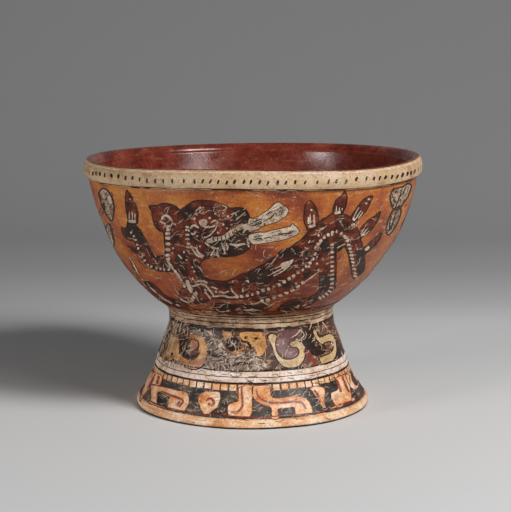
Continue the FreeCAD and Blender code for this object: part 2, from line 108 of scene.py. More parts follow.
def shaped(turn, radius, height):
    """Where the hands left a point of the true form."""
    out = radius + lumps(turn, height) * min(1, radius / CALM)
    return Vector((out * math.cos(turn) + drift(height), out * math.sin(turn),
                   height + rise(turn, height)))


# The section, in millimetres and degrees: stretches that a coat can be laid on

COAT = 0.4
FINE, MEDIUM, COARSE = 1.2, 2.0, 4.0  # steps along a stretch: on show, at an edge, hidden
DOUBLED = 0.02  # points nearer to each other than this are one


class Arc:
    """A round stretch, from one angle to another in degrees. A hollow one shrinks under a coat."""

    def __init__(self, out, up, radius, start, end, hollow=False):
        self.out, self.up, self.radius, self.hollow = out, up, radius, hollow
        self.start, self.end = math.radians(start), math.radians(end)

    def points(self, coat, step):
        radius = self.radius - coat if self.hollow else self.radius + coat
        count = max(2, math.ceil(abs(self.end - self.start) * radius / step))
        turns = [self.start + (self.end - self.start) * i / count for i in range(count + 1)]
        return [(self.out + radius * math.cos(t), self.up + radius * math.sin(t)) for t in turns]


class Line:
    """A straight stretch, which runs downward with the outside on its left-hand side."""

    def __init__(self, *ends):
        self.start, self.end = Vector(ends[:2]), Vector(ends[2:])

    def points(self, coat, step):
        way = self.end - self.start
        count = max(1, math.ceil(way.length / step))
        side = Vector((-way.y, way.x)).normalized() * coat
        return [tuple(self.start + side + way * i / count) for i in range(count + 1)]


def trace(stretches, coat=0.0, step=FINE):
    """The points of stretches that follow each other, without doubled ones."""
    points = []
    for stretch in stretches:
        for point in stretch.points(coat, step):
            if not points or math.dist(point, points[-1]) > DOUBLED:
                points.append(point)
    return points


def coated(stretches):
    """The closed section of a coat: its face, then its back."""
    return trace(stretches, COAT) + trace(stretches, 0, COARSE)[::-1]


def swung(centre, radius, angle):
    """The point at a radius and an angle from a centre."""
    turn = math.radians(angle)
    return centre[0] + radius * math.cos(turn), centre[1] + radius * math.sin(turn)


def facing(high, low):
    """The angle at which a bend meets the straight stretch from a point to a lower one."""
    return 180 + math.degrees(math.atan2(low[0] - high[0], high[1] - low[1]))


def bend_centre(corner, radius, start, end):
    """The centre of a bend that rounds off a corner between two angles."""
    return swung(corner, -radius / math.cos(math.radians(end - start) / 2), (start + end) / 2)


# The driving sizes, which are those of the frame's clay

WALL_RADIUS, BOWL_DEPTH, BOWL_WALL = 98.8, 95.8, 5.0
BELLY, SIDE = 0.951 * WALL_RADIUS, 1.295 * WALL_RADIUS  # radii of the belly and the flatter side
JOIN = -34.70  # angle at which the belly runs on into the side
STAND_HEIGHT, STAND_WALL = 46.7, 6.0
NECK, FOOT = 49.1, 67.2  # radii of the stand
NECK_BEND, ANKLE_BEND = 24.0, 15.0
WAIST_TOP, WAIST_FOOT = 0.664 * STAND_HEIGHT, 0.514 * STAND_HEIGHT
ROLL, ROLL_INSET, ROLL_HEIGHT = 3.6, 1.5, 2.232
ROLL_TOP, HEM = 60.5, 0.8  # angle and height at which the roll's slip begins and ends
LUTE, UNDER_LUTE = 8.0, 5.0

# The rim, whose face the potter's fingers flattened

RIM_CENTRE = (92.6, 144.3)
RIM_FACE, RIM_CORNER, LIP = 8.6, 1.2, 4.6  # radii
RIM_TOP, RIM_FOOT = 38, -32  # angles of the rim's flattened face
LIP_TOP, LIP_FOOT = 100, 173.8  # angles between which the lip rounds over into the bowl
RED_EDGE = 45  # angle on the rim's corner where the red lining ends
LAP, COAT_LAP = -9.1, -9.195  # angles on the side down to which the rim's clay and slip reach
INNER_LAP = -6.54  # angle on the inner side up to which the lip reaches

INNER_BELLY, INNER_SIDE, INNER_NECK = BELLY - BOWL_WALL, SIDE - BOWL_WALL, NECK - STAND_WALL
belly_centre = (0, STAND_HEIGHT + BELLY)
side_centre = swung(belly_centre, BELLY - SIDE, JOIN)
corner_centre = swung(RIM_CENTRE, RIM_FACE - RIM_CORNER, RIM_TOP)
lip_centre = swung(corner_centre, RIM_CORNER - LIP, LIP_TOP)
roll_centre = (FOOT - ROLL_INSET, ROLL_HEIGHT)

flare_corner = (NECK, 1.055 * STAND_HEIGHT)
ankle_corner = (NECK + 0.5635 * (FOOT - NECK), 0.39 * STAND_HEIGHT)
foot_corner = (FOOT, ROLL_HEIGHT + math.sqrt(ROLL ** 2 - ROLL_INSET ** 2))
FLARE, SPLAY = facing(flare_corner, ankle_corner), facing(ankle_corner, foot_corner)
neck_centre = bend_centre(flare_corner, NECK_BEND, 180, FLARE)
ankle_centre = bend_centre(ankle_corner, ANKLE_BEND, FLARE, SPLAY)
LUTE_TOP = -math.degrees(math.acos((NECK + LUTE) / (BELLY + LUTE)))
lute_centre = swung(belly_centre, BELLY + LUTE, LUTE_TOP)


def on_flank(height):
    """The point of the stand's straight flank at a height."""
    return NECK + (flare_corner[1] - height) * math.tan(math.radians(FLARE)), height


lip_corner = Arc(*corner_centre, RIM_CORNER, RED_EDGE, LIP_TOP)
lip = Arc(*lip_centre, LIP, LIP_TOP, LIP_FOOT)
inner_side = Arc(*side_centre, INNER_SIDE, INNER_LAP, JOIN, hollow=True)
inner_belly = Arc(*belly_centre, INNER_BELLY, JOIN, -90, hollow=True)
rim_corner = Arc(*corner_centre, RIM_CORNER, RED_EDGE, RIM_TOP)
rim_face = Arc(*RIM_CENTRE, RIM_FACE, RIM_TOP, RIM_FOOT)
side = Arc(*side_centre, SIDE, COAT_LAP, JOIN)
belly = Arc(*belly_centre, BELLY, JOIN, LUTE_TOP)
lute = Arc(*lute_centre, LUTE, 180 + LUTE_TOP, 180, hollow=True)
neck = Line(NECK, lute_centre[1], NECK, neck_centre[1])
neck_bend = Arc(*neck_centre, NECK_BEND, 180, FLARE, hollow=True)
flank = Line(*swung(neck_centre, NECK_BEND, FLARE), *on_flank(WAIST_TOP))
waist = Line(*on_flank(WAIST_TOP), *on_flank(WAIST_FOOT))
lower_flank = Line(*on_flank(WAIST_FOOT), *swung(ankle_centre, ANKLE_BEND, FLARE))
ankle_bend = Arc(*ankle_centre, ANKLE_BEND, FLARE, SPLAY, hollow=True)
apron = Line(*swung(ankle_centre, ANKLE_BEND, SPLAY), *foot_corner)
roll = Arc(*roll_centre, ROLL, ROLL_TOP, math.degrees(math.asin((HEM - ROLL_HEIGHT) / ROLL)))

outside = [rim_corner, rim_face, side, belly, lute, neck, neck_bend, flank, waist, lower_flank,
           ankle_bend, apron, roll]
SKIN_STEP = 0.5


class Skin:
    """The outside of the finished coats, as a way down from the lip to the foot's hem."""

    def __init__(self):
        self.points = [Vector(p) * MM for p in trace(outside, COAT, SKIN_STEP)]
        self.lengths = [0.0]
        for before, after in zip(self.points, self.points[1:]):
            self.lengths.append(self.lengths[-1] + (after - before).length)
        self.depths = [-p.y for p in self.points]

    def at(self, length):
        """The radius and height at a length down the way, and the way's direction there."""
        i = min(max(bisect_left(self.lengths, length), 1), len(self.lengths) - 1)
        start, end = self.points[i - 1], self.points[i]
        share = (length - self.lengths[i - 1]) / (self.lengths[i] - self.lengths[i - 1])
        return start.lerp(end, share), (end - start).normalized()

    def at_height(self, height):
        """The length down the way, and the radius, at a height."""
        i = min(max(bisect_left(self.depths, -height), 1), len(self.depths) - 1)
        span = self.depths[i] - self.depths[i - 1]
        share = min(max((-height - self.depths[i - 1]) / span, 0), 1) if span > 0 else 0
        length = self.lengths[i - 1] + share * (self.lengths[i] - self.lengths[i - 1])
        return length, self.points[i - 1].x + share * (self.points[i].x - self.points[i - 1].x)

    def lifted(self, turn, length, lift):
        """A point of the uneven outside, raised square to it."""
        point, way = self.at(length)
        return shaped(turn, point.x + -way.y * lift, point.y + way.x * lift)


skin = Skin()

NEAREST, MARCH, HALVINGS = 0.118, 0.006, 12  # how a ray starts before the pot, steps and homes in


def depth_inside(point):
    """How deep a point is inside the pot's outside, and where it is round and down the pot."""
    x, y = point.x - drift(point.z), point.y
    turn = math.atan2(y, x)
    height = point.z - rise(turn, point.z)
    length, radius = skin.at_height(height)
    return radius + lumps(turn, height) - math.hypot(x, y), turn, length


def spot(pixel):
    """The spot of the outside that a pixel shows: its turn about the axis and its way down."""
    right = (pixel[0] - IMAGE_WIDTH / 2) / FOCAL_PIXELS
    up = (IMAGE_HEIGHT / 2 - pixel[1]) / FOCAL_PIXELS
    ahead, above = math.cos(LOOKS_DOWN), math.sin(LOOKS_DOWN)
    way = Vector((right, ahead + up * above, up * ahead - above))
    reach = (-NEAREST - LENS_PLACE.y) / way.y
    best = (-1.0, 0, 0, reach)
    while reach * way.y + LENS_PLACE.y < 0.01:
        found = (*depth_inside(LENS_PLACE + way * reach), reach)
        best = max(best, found)
        if found[0] > 0:
            break
        reach += MARCH
    if best[0] > 0:
        far, near = best[3], best[3] - MARCH
        for _ in range(HALVINGS):
            middle = (near + far) / 2
            best = (*depth_inside(LENS_PLACE + way * middle), middle)
            near, far = (near, middle) if best[0] > 0 else (middle, far)
    turn, length = best[1:3]
    return (turn - math.tau if turn > math.pi / 2 else turn), length


# Meshes

ROUND, HIDDEN_ROUND = 480, 240  # points round a piece that shows, and round a hidden one
BAKE_MAP = "OFBake"


def make_object(name, points, faces, uvs, material, nodes=()):
    """One piece of the scene, with its map, finish and place in the frame."""
    mesh = bpy.data.meshes.new(name)
    mesh.from_pydata(points, [], faces)
    layer = mesh.uv_layers.new(name=BAKE_MAP)
    layer.uv.foreach_set("vector", [number for uv in uvs for number in uv])
    mesh.shade_smooth()
    mesh.materials.append(material)
    piece = bpy.data.objects.new(name, mesh)
    bpy.context.scene.collection.objects.link(piece)
    if nodes:
        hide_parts(*nodes)
    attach(piece, BODY)
    return piece


def revolve(name, loop, material, node, segments=ROUND):
    """A closed section, turned through a full circle into one uneven piece."""
    area = sum(a[0] * b[1] - b[0] * a[1] for a, b in zip(loop, loop[1:] + loop[:1]))
    loop = [(r * MM, z * MM) for r, z in (loop if area > 0 else loop[::-1])]
    points, rows = [], []
    for radius, height in loop:
        count = segments if radius > 0.01 * MM else 1
        rows.append(range(len(points), len(points) + count))
        points += [shaped(math.tau * k / segments, radius, height) for k in range(count)]
    steps = [math.dist(a, b) for a, b in zip(loop, loop[1:] + loop[:1])]
    whole, down = sum(steps), 0.0
    faces, uvs = [], []
    for i, step in enumerate(steps):
        low, high = rows[i], rows[(i + 1) % len(rows)]
        v_low, v_high = down / whole, (down + step) / whole
        down += step
        if len(low) == len(high) == 1:
            continue
        for k in range(segments):
            u, u_next, k_next = k / segments, (k + 1) / segments, (k + 1) % segments
            if len(low) == 1:
                faces.append((low[0], high[k_next], high[k]))
                uvs += [(u, v_low), (u_next, v_high), (u, v_high)]
            elif len(high) == 1:
                faces.append((low[k], low[k_next], high[0]))
                uvs += [(u, v_low), (u_next, v_low), (u, v_high)]
            else:
                faces.append((low[k], low[k_next], high[k_next], high[k]))
                uvs += [(u, v_low), (u_next, v_low), (u_next, v_high), (u, v_high)]
    return make_object(name, points, faces, uvs, material, (node,))


# Brushwork

BRUSH_STEP = 1.3  # pixels between the points of a drawn edge
WAVER, WAVER_SPAN = 0.42, 2.8  # pixels that the hand wavers, and over how many pixels
MESH_STEP = 2.2 * MM
FLAT_GIRTH = 80 * MM  # radius at which the outside is unrolled to mesh a sheet of paint
RING_SPAN, RING_SWELL, RING_MAP = 6, 0.45, 0.004  # a ring's waver and swelling, and its map's width
SPECK = 1e-9  # twice the area, in square metres, under which a shape is left out
DAB_POINTS, BLUNTNESS = 12, 0.6
ONCE = ((0, 1, 0),)  # a painting that isn't repeated round the pot


def pixels(*numbers):
    """Pixels of the photograph, from their x and y in turn."""
    return list(zip(numbers[::2], numbers[1::2]))


def smooth(points, closed):
    """Points along the smooth line through the given ones. A doubled point is a sharp corner."""
    line, count = [], len(points)
    for i in range(count if closed else count - 1):
        if closed:
            p = [Vector(points[(i + k) % count]) for k in (-1, 0, 1, 2)]
        else:
            p = [Vector(points[min(max(i + k, 0), count - 1)]) for k in (-1, 0, 1, 2)]
        span = (p[2] - p[1]).length
        steps = max(1, math.ceil(span / BRUSH_STEP))
        for step in range(steps if span else 0):
            t = step / steps
            line.append(p[1] + ((p[2] - p[0]) * t
                                + (p[0] * 2 - p[1] * 5 + p[2] * 4 - p[3]) * t ** 2
                                + (p[1] * 3 - p[0] - p[2] * 3 + p[3]) * t ** 3) / 2)
    return line if closed else line + [Vector(points[-1])]


def wavered(point):
    """A point moved a little, as the hand wavers."""
    place = Vector((point[0], point[1], 0)) / WAVER_SPAN
    moved = noise.noise_vector(place) * WAVER
    return point[0] + moved.x, point[1] + moved.y


def blunt(share):
    """A cosine or sine, fuller between its ends, for a dab with blunt corners."""
    return math.copysign(abs(share) ** BLUNTNESS, share)


def area_of(outline):
    """Twice the area of an outline, below zero where it runs clockwise."""
    return sum(a[0] * b[1] - b[0] * a[1] for a, b in zip(outline, outline[1:] + outline[:1]))


def holds(outline, x, y):
    """Whether a closed outline goes round a point."""
    inside = False
    for (x1, y1), (x2, y2) in zip(outline, outline[1:] + outline[:1]):
        if (y1 > y) != (y2 > y) and x < (x2 - x1) * (y - y1) / (y2 - y1) + x1:
            inside = not inside
    return inside


class Brushwork:
    """All that one paint draws in one zone: a thin sheet of slip that lies on the coats."""

    def __init__(self, name, material, slot, lift, copies=ONCE):
        self.name, self.material, self.slot, self.lift = name, material, slot, lift * MM
        self.copies = copies  # each: the middle turned about, the squeeze and the turn, in degrees
        self.outlines, self.points, self.faces, self.uvs = [], [], [], []

    def patch(self, outline):
        """A filled shape, drawn by its edge in pixels."""
        self.flat([spot(wavered(p)) for p in smooth(outline, True)])

    def patches(self, *outlines):
        for outline in outlines:
            self.patch(outline)

    def flat(self, spots):
        """A filled shape, from its corners' turns about the axis and ways down the pot."""
        outline = [(turn * FLAT_GIRTH, length) for turn, length in spots]
        if abs(area_of(outline)) > SPECK:
            self.outlines.append(outline if area_of(outline) > 0 else outline[::-1])

    def stroke(self, line, *widths):
        """A brush line along pixels, with widths spread from its start to its end."""
        middle = [Vector(wavered(p)) for p in smooth(line, False)]
        left, right = [], []
        for i, point in enumerate(middle):
            way = middle[min(i + 1, len(middle) - 1)] - middle[max(i - 1, 0)]
            across = Vector((-way.y, way.x)).normalized()
            at = i / (len(middle) - 1) * (len(widths) - 1)
            k = min(int(at), len(widths) - 1)
            wide = widths[k] + (widths[min(k + 1, len(widths) - 1)] - widths[k]) * (at - k)
            left.append(spot(point + across * wide / 2))
            right.append(spot(point - across * wide / 2))
        for i in range(len(middle) - 1):
            self.flat([left[i], left[i + 1], right[i + 1], right[i]])

    def strokes(self, width, *lines):
        """Brush lines that swell a little between their ends."""
        for line in lines:
            self.stroke(line, width * 0.7, width, width * 0.8)

    def ring_of(self, outline, width):
        """A line all along the edge of a closed shape."""
        self.stroke(outline + outline[:2], width)

    def dab(self, x, y, length, width, lean=0.0):
        """One touch of the brush: long as given, upright or leaning to the right by degrees."""
        lean = math.radians(lean)
        along, across = (math.sin(lean), -math.cos(lean)), (math.cos(lean), math.sin(lean))
        edge = []
        for step in range(DAB_POINTS):
            turn = math.tau * step / DAB_POINTS
            a, b = blunt(math.cos(turn)) * length / 2, blunt(math.sin(turn)) * width / 2
            edge.append((x + along[0] * a + across[0] * b, y + along[1] * a + across[1] * b))
        self.flat([spot(wavered(p)) for p in edge])

    def touch(self, turn, length, long, wide):
        """One touch of the brush on the side away from the camera, in millimetres."""
        around = wide / 2 * MM / skin.at(length)[0].x
        edge = [math.tau * step / DAB_POINTS for step in range(DAB_POINTS)]
        self.flat([(turn + blunt(math.cos(t)) * around, length + blunt(math.sin(t)) * long / 2 * MM)
                   for t in edge])

    def dots(self, points, size):
        """Round touches of the brush, no two quite the same size."""
        for x, y in points:
            self.dab(x, y, size * hand.uniform(0.85, 1.2), size * hand.uniform(0.8, 1.1))

    def scuffs(self, count, box, lean=0.0, spread=25.0, reach=(3, 9), width=0.55):
        """Short bent scratches, scattered over a box of pixels about one lean."""
        left, top, right, foot = box
        for _ in range(count):
            x, y = hand.uniform(left, right), hand.uniform(top, foot)
            turn, half = math.radians(lean + hand.gauss(0, spread)), hand.uniform(*reach) / 2
            along = Vector((math.cos(turn), -math.sin(turn))) * half
            middle, bend = Vector((x, y)), Vector((along.y, -along.x)) * hand.uniform(-0.4, 0.4)
            line = [middle - along, middle + bend, middle + along]
            self.stroke(line, width * 0.5, width, width * 0.6)

    def ladder(self, line, count, length, width, lean=0.0):
        """Short touches across a line, evenly spread along it."""
        middle = smooth(line, False)
        for i in range(count):
            at = i / max(count - 1, 1) * (len(middle) - 1)
            k = min(int(at), len(middle) - 2)
            point, way = middle[k].lerp(middle[k + 1], at - k), middle[k + 1] - middle[k]
            turn = math.degrees(math.atan2(way.y, way.x)) + lean + hand.uniform(-6, 6)
            self.dab(point.x, point.y, length * hand.uniform(0.85, 1.1),
                     width * hand.uniform(0.85, 1.15), turn)

    def ring(self, level, width, waver=0.25):
        """A line right round the pot, at the way down that a middle pixel row shows."""
        length = spot((IMAGE_WIDTH / 2, level))[1]
        start, phase = len(self.points), hand.uniform(0, 90)
        for k in range(ROUND + 1):
            turn = math.tau * k / ROUND - math.pi
            circle = Vector((math.cos(turn) * RING_SPAN, math.sin(turn) * RING_SPAN, phase))
            middle = length + noise.noise(circle) * waver * MM
            half = width * MM / 2 * (1 + RING_SWELL * noise.noise(circle * 2.5))
            for step in (-half, half):
                self.points.append(skin.lifted(turn, middle + step, self.lift * 1.1))
        low = length / skin.lengths[-1]
        high = low + RING_MAP
        for k in range(ROUND):
            a, u, u_next = start + 2 * k, k / ROUND, (k + 1) / ROUND
            self.faces.append((a, a + 1, a + 3, a + 2))
            self.uvs += [(u, low), (u, high), (u_next, high), (u_next, low)]

    def mesh_outlines(self):
        """One mesh of all the shapes together, in the plane of the unrolled outside."""
        corners, rings = [], []
        for outline in self.outlines:
            rings.append(list(range(len(corners), len(corners) + len(outline))))
            corners += [Vector(p) for p in outline]
        for outline in self.outlines:
            xs, ys = [p[0] for p in outline], [p[1] for p in outline]
            if (max(xs) - min(xs)) * (max(ys) - min(ys)) < 2 * MESH_STEP ** 2:
                continue
            for i in range(math.floor(min(xs) / MESH_STEP), math.ceil(max(xs) / MESH_STEP)):
                for j in range(math.floor(min(ys) / MESH_STEP), math.ceil(max(ys) / MESH_STEP)):
                    x, y = (i + 0.5 + 0.13 * (j % 2)) * MESH_STEP, (j + 0.5) * MESH_STEP
                    if holds(outline, x, y):
                        corners.append(Vector((x, y)))
        found = geometry.delaunay_2d_cdt(corners, [], rings, 1, 1e-6)
        kept = []
        for face, drawn_in in zip(found[2], found[5]):
            middle = sum((found[0][k] for k in face), Vector((0, 0))) / len(face)
            if any(holds(self.outlines[k], *middle) for k in drawn_in):
                kept.append(face)
        return found[0], kept

    def placed(self, corner, middle, squeeze, turned):
        """The turn about the axis of a corner of the unrolled mesh, in one of the copies."""
        turn = corner.x / FLAT_GIRTH - math.radians(middle)
        return math.radians(middle + turned) + turn * squeeze

    def finish(self):
        """The painting as one piece, with its copies round the pot."""
        if self.outlines:
            corners, faces = self.mesh_outlines()
            used = sorted({k for face in faces for k in face})
            for copy in self.copies:
                index, uvs = {}, {}
                for k in used:
                    turn = self.placed(corners[k], *copy)
                    index[k] = len(self.points)
                    uvs[k] = (turn / math.tau + 1, corners[k].y / skin.lengths[-1])
                    self.points.append(skin.lifted(turn, corners[k].y, self.lift))
                for face in faces:
                    self.faces.append([index[k] for k in reversed(face)])
                    self.uvs += [uvs[k] for k in reversed(face)]
        shift = math.floor(min(u for u, _ in self.uvs))
        width = max(1.0, max(u for u, _ in self.uvs) - shift)
        self.uvs = [((u - shift) / width, v) for u, v in self.uvs]
        return make_object(self.name, self.points, self.faces, self.uvs, self.material)


# Finishes

def linear(colour):
    """The linear red, green, blue and alpha of an sRGB hex colour."""
    parts = [int(colour[i:i + 2], 16) / 255 for i in (1, 3, 5)]
    return [c / 12.92 if c <= 0.04045 else ((c + 0.055) / 1.055) ** 2.4 for c in parts] + [1.0]


def add(tree, kind, inputs=None, **settings):
    """A node with its settings, and a value or a link for each socket that is named."""
    made = tree.nodes.new(kind)
    for name, setting in settings.items():
        setattr(made, name, setting)
    for socket, given in (inputs or {}).items():
        if isinstance(given, bpy.types.NodeSocket):
            tree.links.new(given, made.inputs[socket])
        else:
            made.inputs[socket].default_value = given
    return made


def shade(ramp, stops):
    """Fill a colour ramp with stops of place and hex colour."""
    while len(ramp.elements) < len(stops):
        ramp.elements.new(1.0)
    for element, (place, colour) in zip(ramp.elements, stops):
        element.position, element.color = place, linear(colour)


CLOUD_MM = 14.0  # thin and thick places of a slip laid on with a rag or a broad brush
STREAK_MM = 9.0  # length of the strokes of the burnishing pebble
STREAK_FLATNESS = 5.0
GRAIN_MM = 1.1  # temper that shows through, drawn coarser than sand so that it shows
WEAR_MM = 6.0
VEIN_MM = 11.0
GRAIN_DEPTH = 0.12 * MM
LOWER_SHADE_WAVE = 40 * MM  # how far up and down the edge of the painted shade wanders with the clouds
DARKEST, PALEST = 0.37, 0.63  # levels of the clouds that take a slip's first and last shade
SCRATCH_TONE = "#CDB394"


def slip(name, shades, bare, worn_from=0.66, rough=0.42, veins=0.5, cloud=CLOUD_MM, lower_shade=None,
         sheen=0.5):
    """Clay slip, brushed on and burnished with a pebble before the firing: a soft sheen over
    colour that is cloudy, streaked along the strokes, specked by the temper and worn to what
    lies under it, with fine pale scratches. A painted shade can darken it lower down, where the
    belly's underside turns away from the light.
    """
    made = bpy.data.materials.new(name)
    made.use_nodes = True
    tree = made.node_tree
    shader = tree.nodes["Principled BSDF"]
    place = add(tree, "ShaderNodeTexCoord").outputs["Object"]
    along = add(tree, "ShaderNodeMapping", {"Vector": place, "Scale": (1, 1, STREAK_FLATNESS)})
    clouds = add(tree, "ShaderNodeTexNoise", {"Vector": place, "Scale": 1 / (cloud * MM),
                                              "Detail": 6.0, "Roughness": 0.62})
    streaks = add(tree, "ShaderNodeTexNoise", {"Vector": along.outputs[0], "Detail": 4.0,
                                               "Scale": 1 / (STREAK_MM * MM)})
    grain = add(tree, "ShaderNodeTexNoise", {"Vector": place, "Scale": 1 / (GRAIN_MM * MM),
                                             "Detail": 3.0})
    wear = add(tree, "ShaderNodeTexNoise", {"Vector": place, "Scale": 1 / (WEAR_MM * MM),
                                            "Detail": 9.0, "Roughness": 0.7})
    tone = add(tree, "ShaderNodeMix", {0: 0.18, 2: clouds.outputs[0], 3: streaks.outputs[0]})
    colour = add(tree, "ShaderNodeValToRGB", {0: tone.outputs[0]})
    step = (PALEST - DARKEST) / (len(shades) - 1)
    shade(colour.color_ramp, [(DARKEST + step * i, c) for i, c in enumerate(shades)])
    specks = add(tree, "ShaderNodeValToRGB", {0: grain.outputs[0]})
    shade(specks.color_ramp, [(0.3, "#B4B0AC"), (0.5, "#F4F4F4"), (0.72, "#FFFFFF")])
    specked = add(tree, "ShaderNodeMix", {0: 0.8, 6: colour.outputs[0], 7: specks.outputs[0]},
                  data_type="RGBA", blend_type="MULTIPLY")
    # Painted shade: the colour is darkened lower down, with a wavering edge, for the shade under the
    # bowl's belly
    if lower_shade:
        tint, unshaded, shaded = lower_shade
        level = add(tree, "ShaderNodeSeparateXYZ", {0: place})
        wavy = add(tree, "ShaderNodeMath", {0: clouds.outputs[0], 1: LOWER_SHADE_WAVE,
                                            2: level.outputs["Z"]}, operation="MULTIPLY_ADD")
        shading = add(tree, "ShaderNodeMapRange", {"Value": wavy.outputs[0],
                                                "From Min": unshaded * MM + LOWER_SHADE_WAVE / 2,
                                                "From Max": shaded * MM + LOWER_SHADE_WAVE / 2})
        specked = add(tree, "ShaderNodeMix", {0: shading.outputs[0], 6: specked.outputs[2],
                                              7: linear(tint)}, data_type="RGBA",
                      blend_type="MULTIPLY")
    ragged = add(tree, "ShaderNodeMix", {0: 0.3, 2: wear.outputs[0], 3: grain.outputs[0]})
    worn = add(tree, "ShaderNodeMapRange", {"Value": ragged.outputs[0], "From Min": worn_from,
                                            "From Max": worn_from + 0.04})
    weathered = add(tree, "ShaderNodeMix", {0: worn.outputs[0], 6: specked.outputs[2],
                                            7: linear(bare)}, data_type="RGBA")
    bent = add(tree, "ShaderNodeMix", {0: 0.012, 4: place, 5: wear.outputs["Color"]},
               data_type="VECTOR")
    cracks = add(tree, "ShaderNodeTexVoronoi", {"Vector": bent.outputs[1],
                                                "Scale": 1 / (VEIN_MM * MM)},
                 feature="DISTANCE_TO_EDGE")
    scratch = add(tree, "ShaderNodeMapRange", {"Value": cracks.outputs[0], "From Min": 0.0,
                                               "From Max": 0.03, "To Min": 1.0, "To Max": 0.0})
    patchy = add(tree, "ShaderNodeMapRange", {"Value": streaks.outputs[0], "From Min": 0.5,
                                              "From Max": 0.62, "To Max": veins})
    vein = add(tree, "ShaderNodeMath", {0: scratch.outputs[0], 1: patchy.outputs[0]},
               operation="MULTIPLY")
    aged = add(tree, "ShaderNodeMix", {0: vein.outputs[0], 6: weathered.outputs[2],
                                       7: linear(SCRATCH_TONE)}, data_type="RGBA")
    dull = add(tree, "ShaderNodeMapRange", {"Value": wear.outputs[0], "From Min": 0.35,
                                            "From Max": 0.7, "To Min": rough - 0.07,
                                            "To Max": rough + 0.2})
    height = add(tree, "ShaderNodeMath", {0: grain.outputs[0], 1: worn.outputs[0]},
                 operation="SUBTRACT")
    bump = add(tree, "ShaderNodeBump", {"Height": height.outputs[0], "Distance": GRAIN_DEPTH,
                                        "Strength": 0.7})
    for output, socket in ((aged.outputs[2], "Base Color"), (dull.outputs[0], "Roughness"),
                           (bump.outputs[0], "Normal")):
        tree.links.new(output, shader.inputs[socket])
    shader.inputs["IOR"].default_value = 1.44
    shader.inputs["Specular IOR Level"].default_value = sheen
    return made


# Low-fired earthenware, scraped and left bare: matt, buff, with coarse temper
earthenware = slip(
    "fired_earthenware", ["#8A5C38", "#A87850", "#BC9068"], "#C8A680",
    worn_from=0.64, rough=0.78, veins=0.1)
# Iron-red slip, burnished till it shines: the deep glossy lining
red_lining = slip(
    "burnished_red_slip", ["#5A2018", "#722E22", "#843A2B", "#924838"], "#A06A52",
    worn_from=0.66, rough=0.18, veins=0.2, cloud=20)
# Kaolin slip with a little iron: warm and pale, stained ochre in places
cream_coat = slip(
    "burnished_cream_slip", ["#A47C50", "#BA9A74", "#C4A684", "#C8AC8C"], "#9A6A3C",
    worn_from=0.62, rough=0.46, veins=0.3)
# The same slip, purer and chalkier on the stand's waist
chalk_coat = slip(
    "burnished_chalk_slip", ["#C2A48C", "#E0C4B0", "#EAD2C2", "#EEDACC"], "#B08060",
    worn_from=0.60, rough=0.5, veins=0.2, cloud=8)
# Yellow ochre slip that fired from yellow to rust, with a painted shade darkening it lower down, under
# the belly
ochre_coat = slip(
    "burnished_ochre_slip", ["#78300E", "#964818", "#AE6220", "#BC782E"], "#CC9C68",
    worn_from=0.66, rough=0.38, veins=0.6, cloud=24, lower_shade=("#D0A690", 118, 74))
# The same ochre, thinned: the peach of the foot's roll
pale_ochre_coat = slip(
    "burnished_pale_ochre_slip", ["#CC8854", "#E6B284", "#F4D0AC", "#F8E2CC"], "#B0704A",
    worn_from=0.62, rough=0.42, veins=0.4, cloud=16)
# Manganese and iron slip, burnished: the dark ground of the scrolls, thin to grey and red
brown_coat = slip(
    "burnished_brown_slip", ["#30201A", "#4A2C22", "#66402E", "#8E6250"], "#B49674",
    worn_from=0.56, rough=0.45, veins=0.8, cloud=12, sheen=0.34)
# The same slip with more manganese: the grey-black ground of the frets
black_coat = slip(
    "burnished_black_slip", ["#2A2320", "#38302C", "#4C423C", "#6A5E54"], "#A88A72",
    worn_from=0.58, rough=0.44, veins=0.8, sheen=0.34)
# Cream slip over dark: the streaked tan of the neck
tan_coat = slip(
    "burnished_tan_slip", ["#7A583C", "#A07C5A", "#BC9878", "#CEB094"], "#5A3222",
    worn_from=0.575, rough=0.48, veins=0.5, cloud=10)
# Ochre slip brushed on thickly, which fired to rust
rust_paint = slip(
    "thick_rust_slip", ["#602610", "#7A3216", "#904620"], "#B06A38",
    worn_from=0.58, rough=0.4, veins=0.6, cloud=8)
# Iron and manganese slip, thin at the strokes' ends: the serpent's dark plum
plum_paint = slip(
    "brushed_plum_slip", ["#220F08", "#461A0F", "#682815", "#7C3A22"], "#9A6444",
    worn_from=0.61, rough=0.4, veins=0.7, cloud=7, sheen=0.26)
# The same slip, blackened where the fire's smoke lay: the darkest places, and also painted shade along
# the belly's underside
soot_and_shade_paint = slip(
    "brushed_soot_and_shade_slip", ["#20130D", "#2C1B12", "#3E281C"], "#6A4A3A",
    worn_from=0.60, rough=0.44, veins=0.6, sheen=0.26)
# Manganese slip for a fine brush: crisp brown-black lines
line_paint = slip(
    "brushed_line_slip", ["#1E110B", "#2A160D", "#3A2012"], "#7A4A2A",
    worn_from=0.63, rough=0.44, veins=0.2, sheen=0.3)
# Kaolin slip for a fine brush: the serpent's pale marks, broken where they are rubbed
cream_paint = slip(
    "brushed_cream_slip", ["#8A745C", "#B09A82", "#C8B29C", "#D4C2AE"], "#5A3428",
    worn_from=0.55, rough=0.5, veins=0.0, cloud=5)
# The same, thinner and rubbed through: the seals' mottled buff
seal_paint = slip(
    "rubbed_seal_slip", ["#644834", "#967C64", "#B8A28A", "#C8B49E"], "#5A3020",
    worn_from=0.53, rough=0.5, veins=0.0, cloud=3)
# Pale pink slip along the lip's crest: a painted highlight where the lip rounds over
lip_highlight_paint = slip(
    "lip_highlight_slip", ["#C09A7C", "#D8B698", "#E2C6AC"], "#7A3A28",
    worn_from=0.6, rough=0.4, veins=0.0, cloud=6)
# Ochre slip, brushed: the warm orange of the scrolls
orange_paint = slip(
    "brushed_orange_slip", ["#9A5E28", "#B87A3C", "#CC9456", "#DAAA74"], "#46301F",
    worn_from=0.59, rough=0.44, veins=0.5, cloud=10)
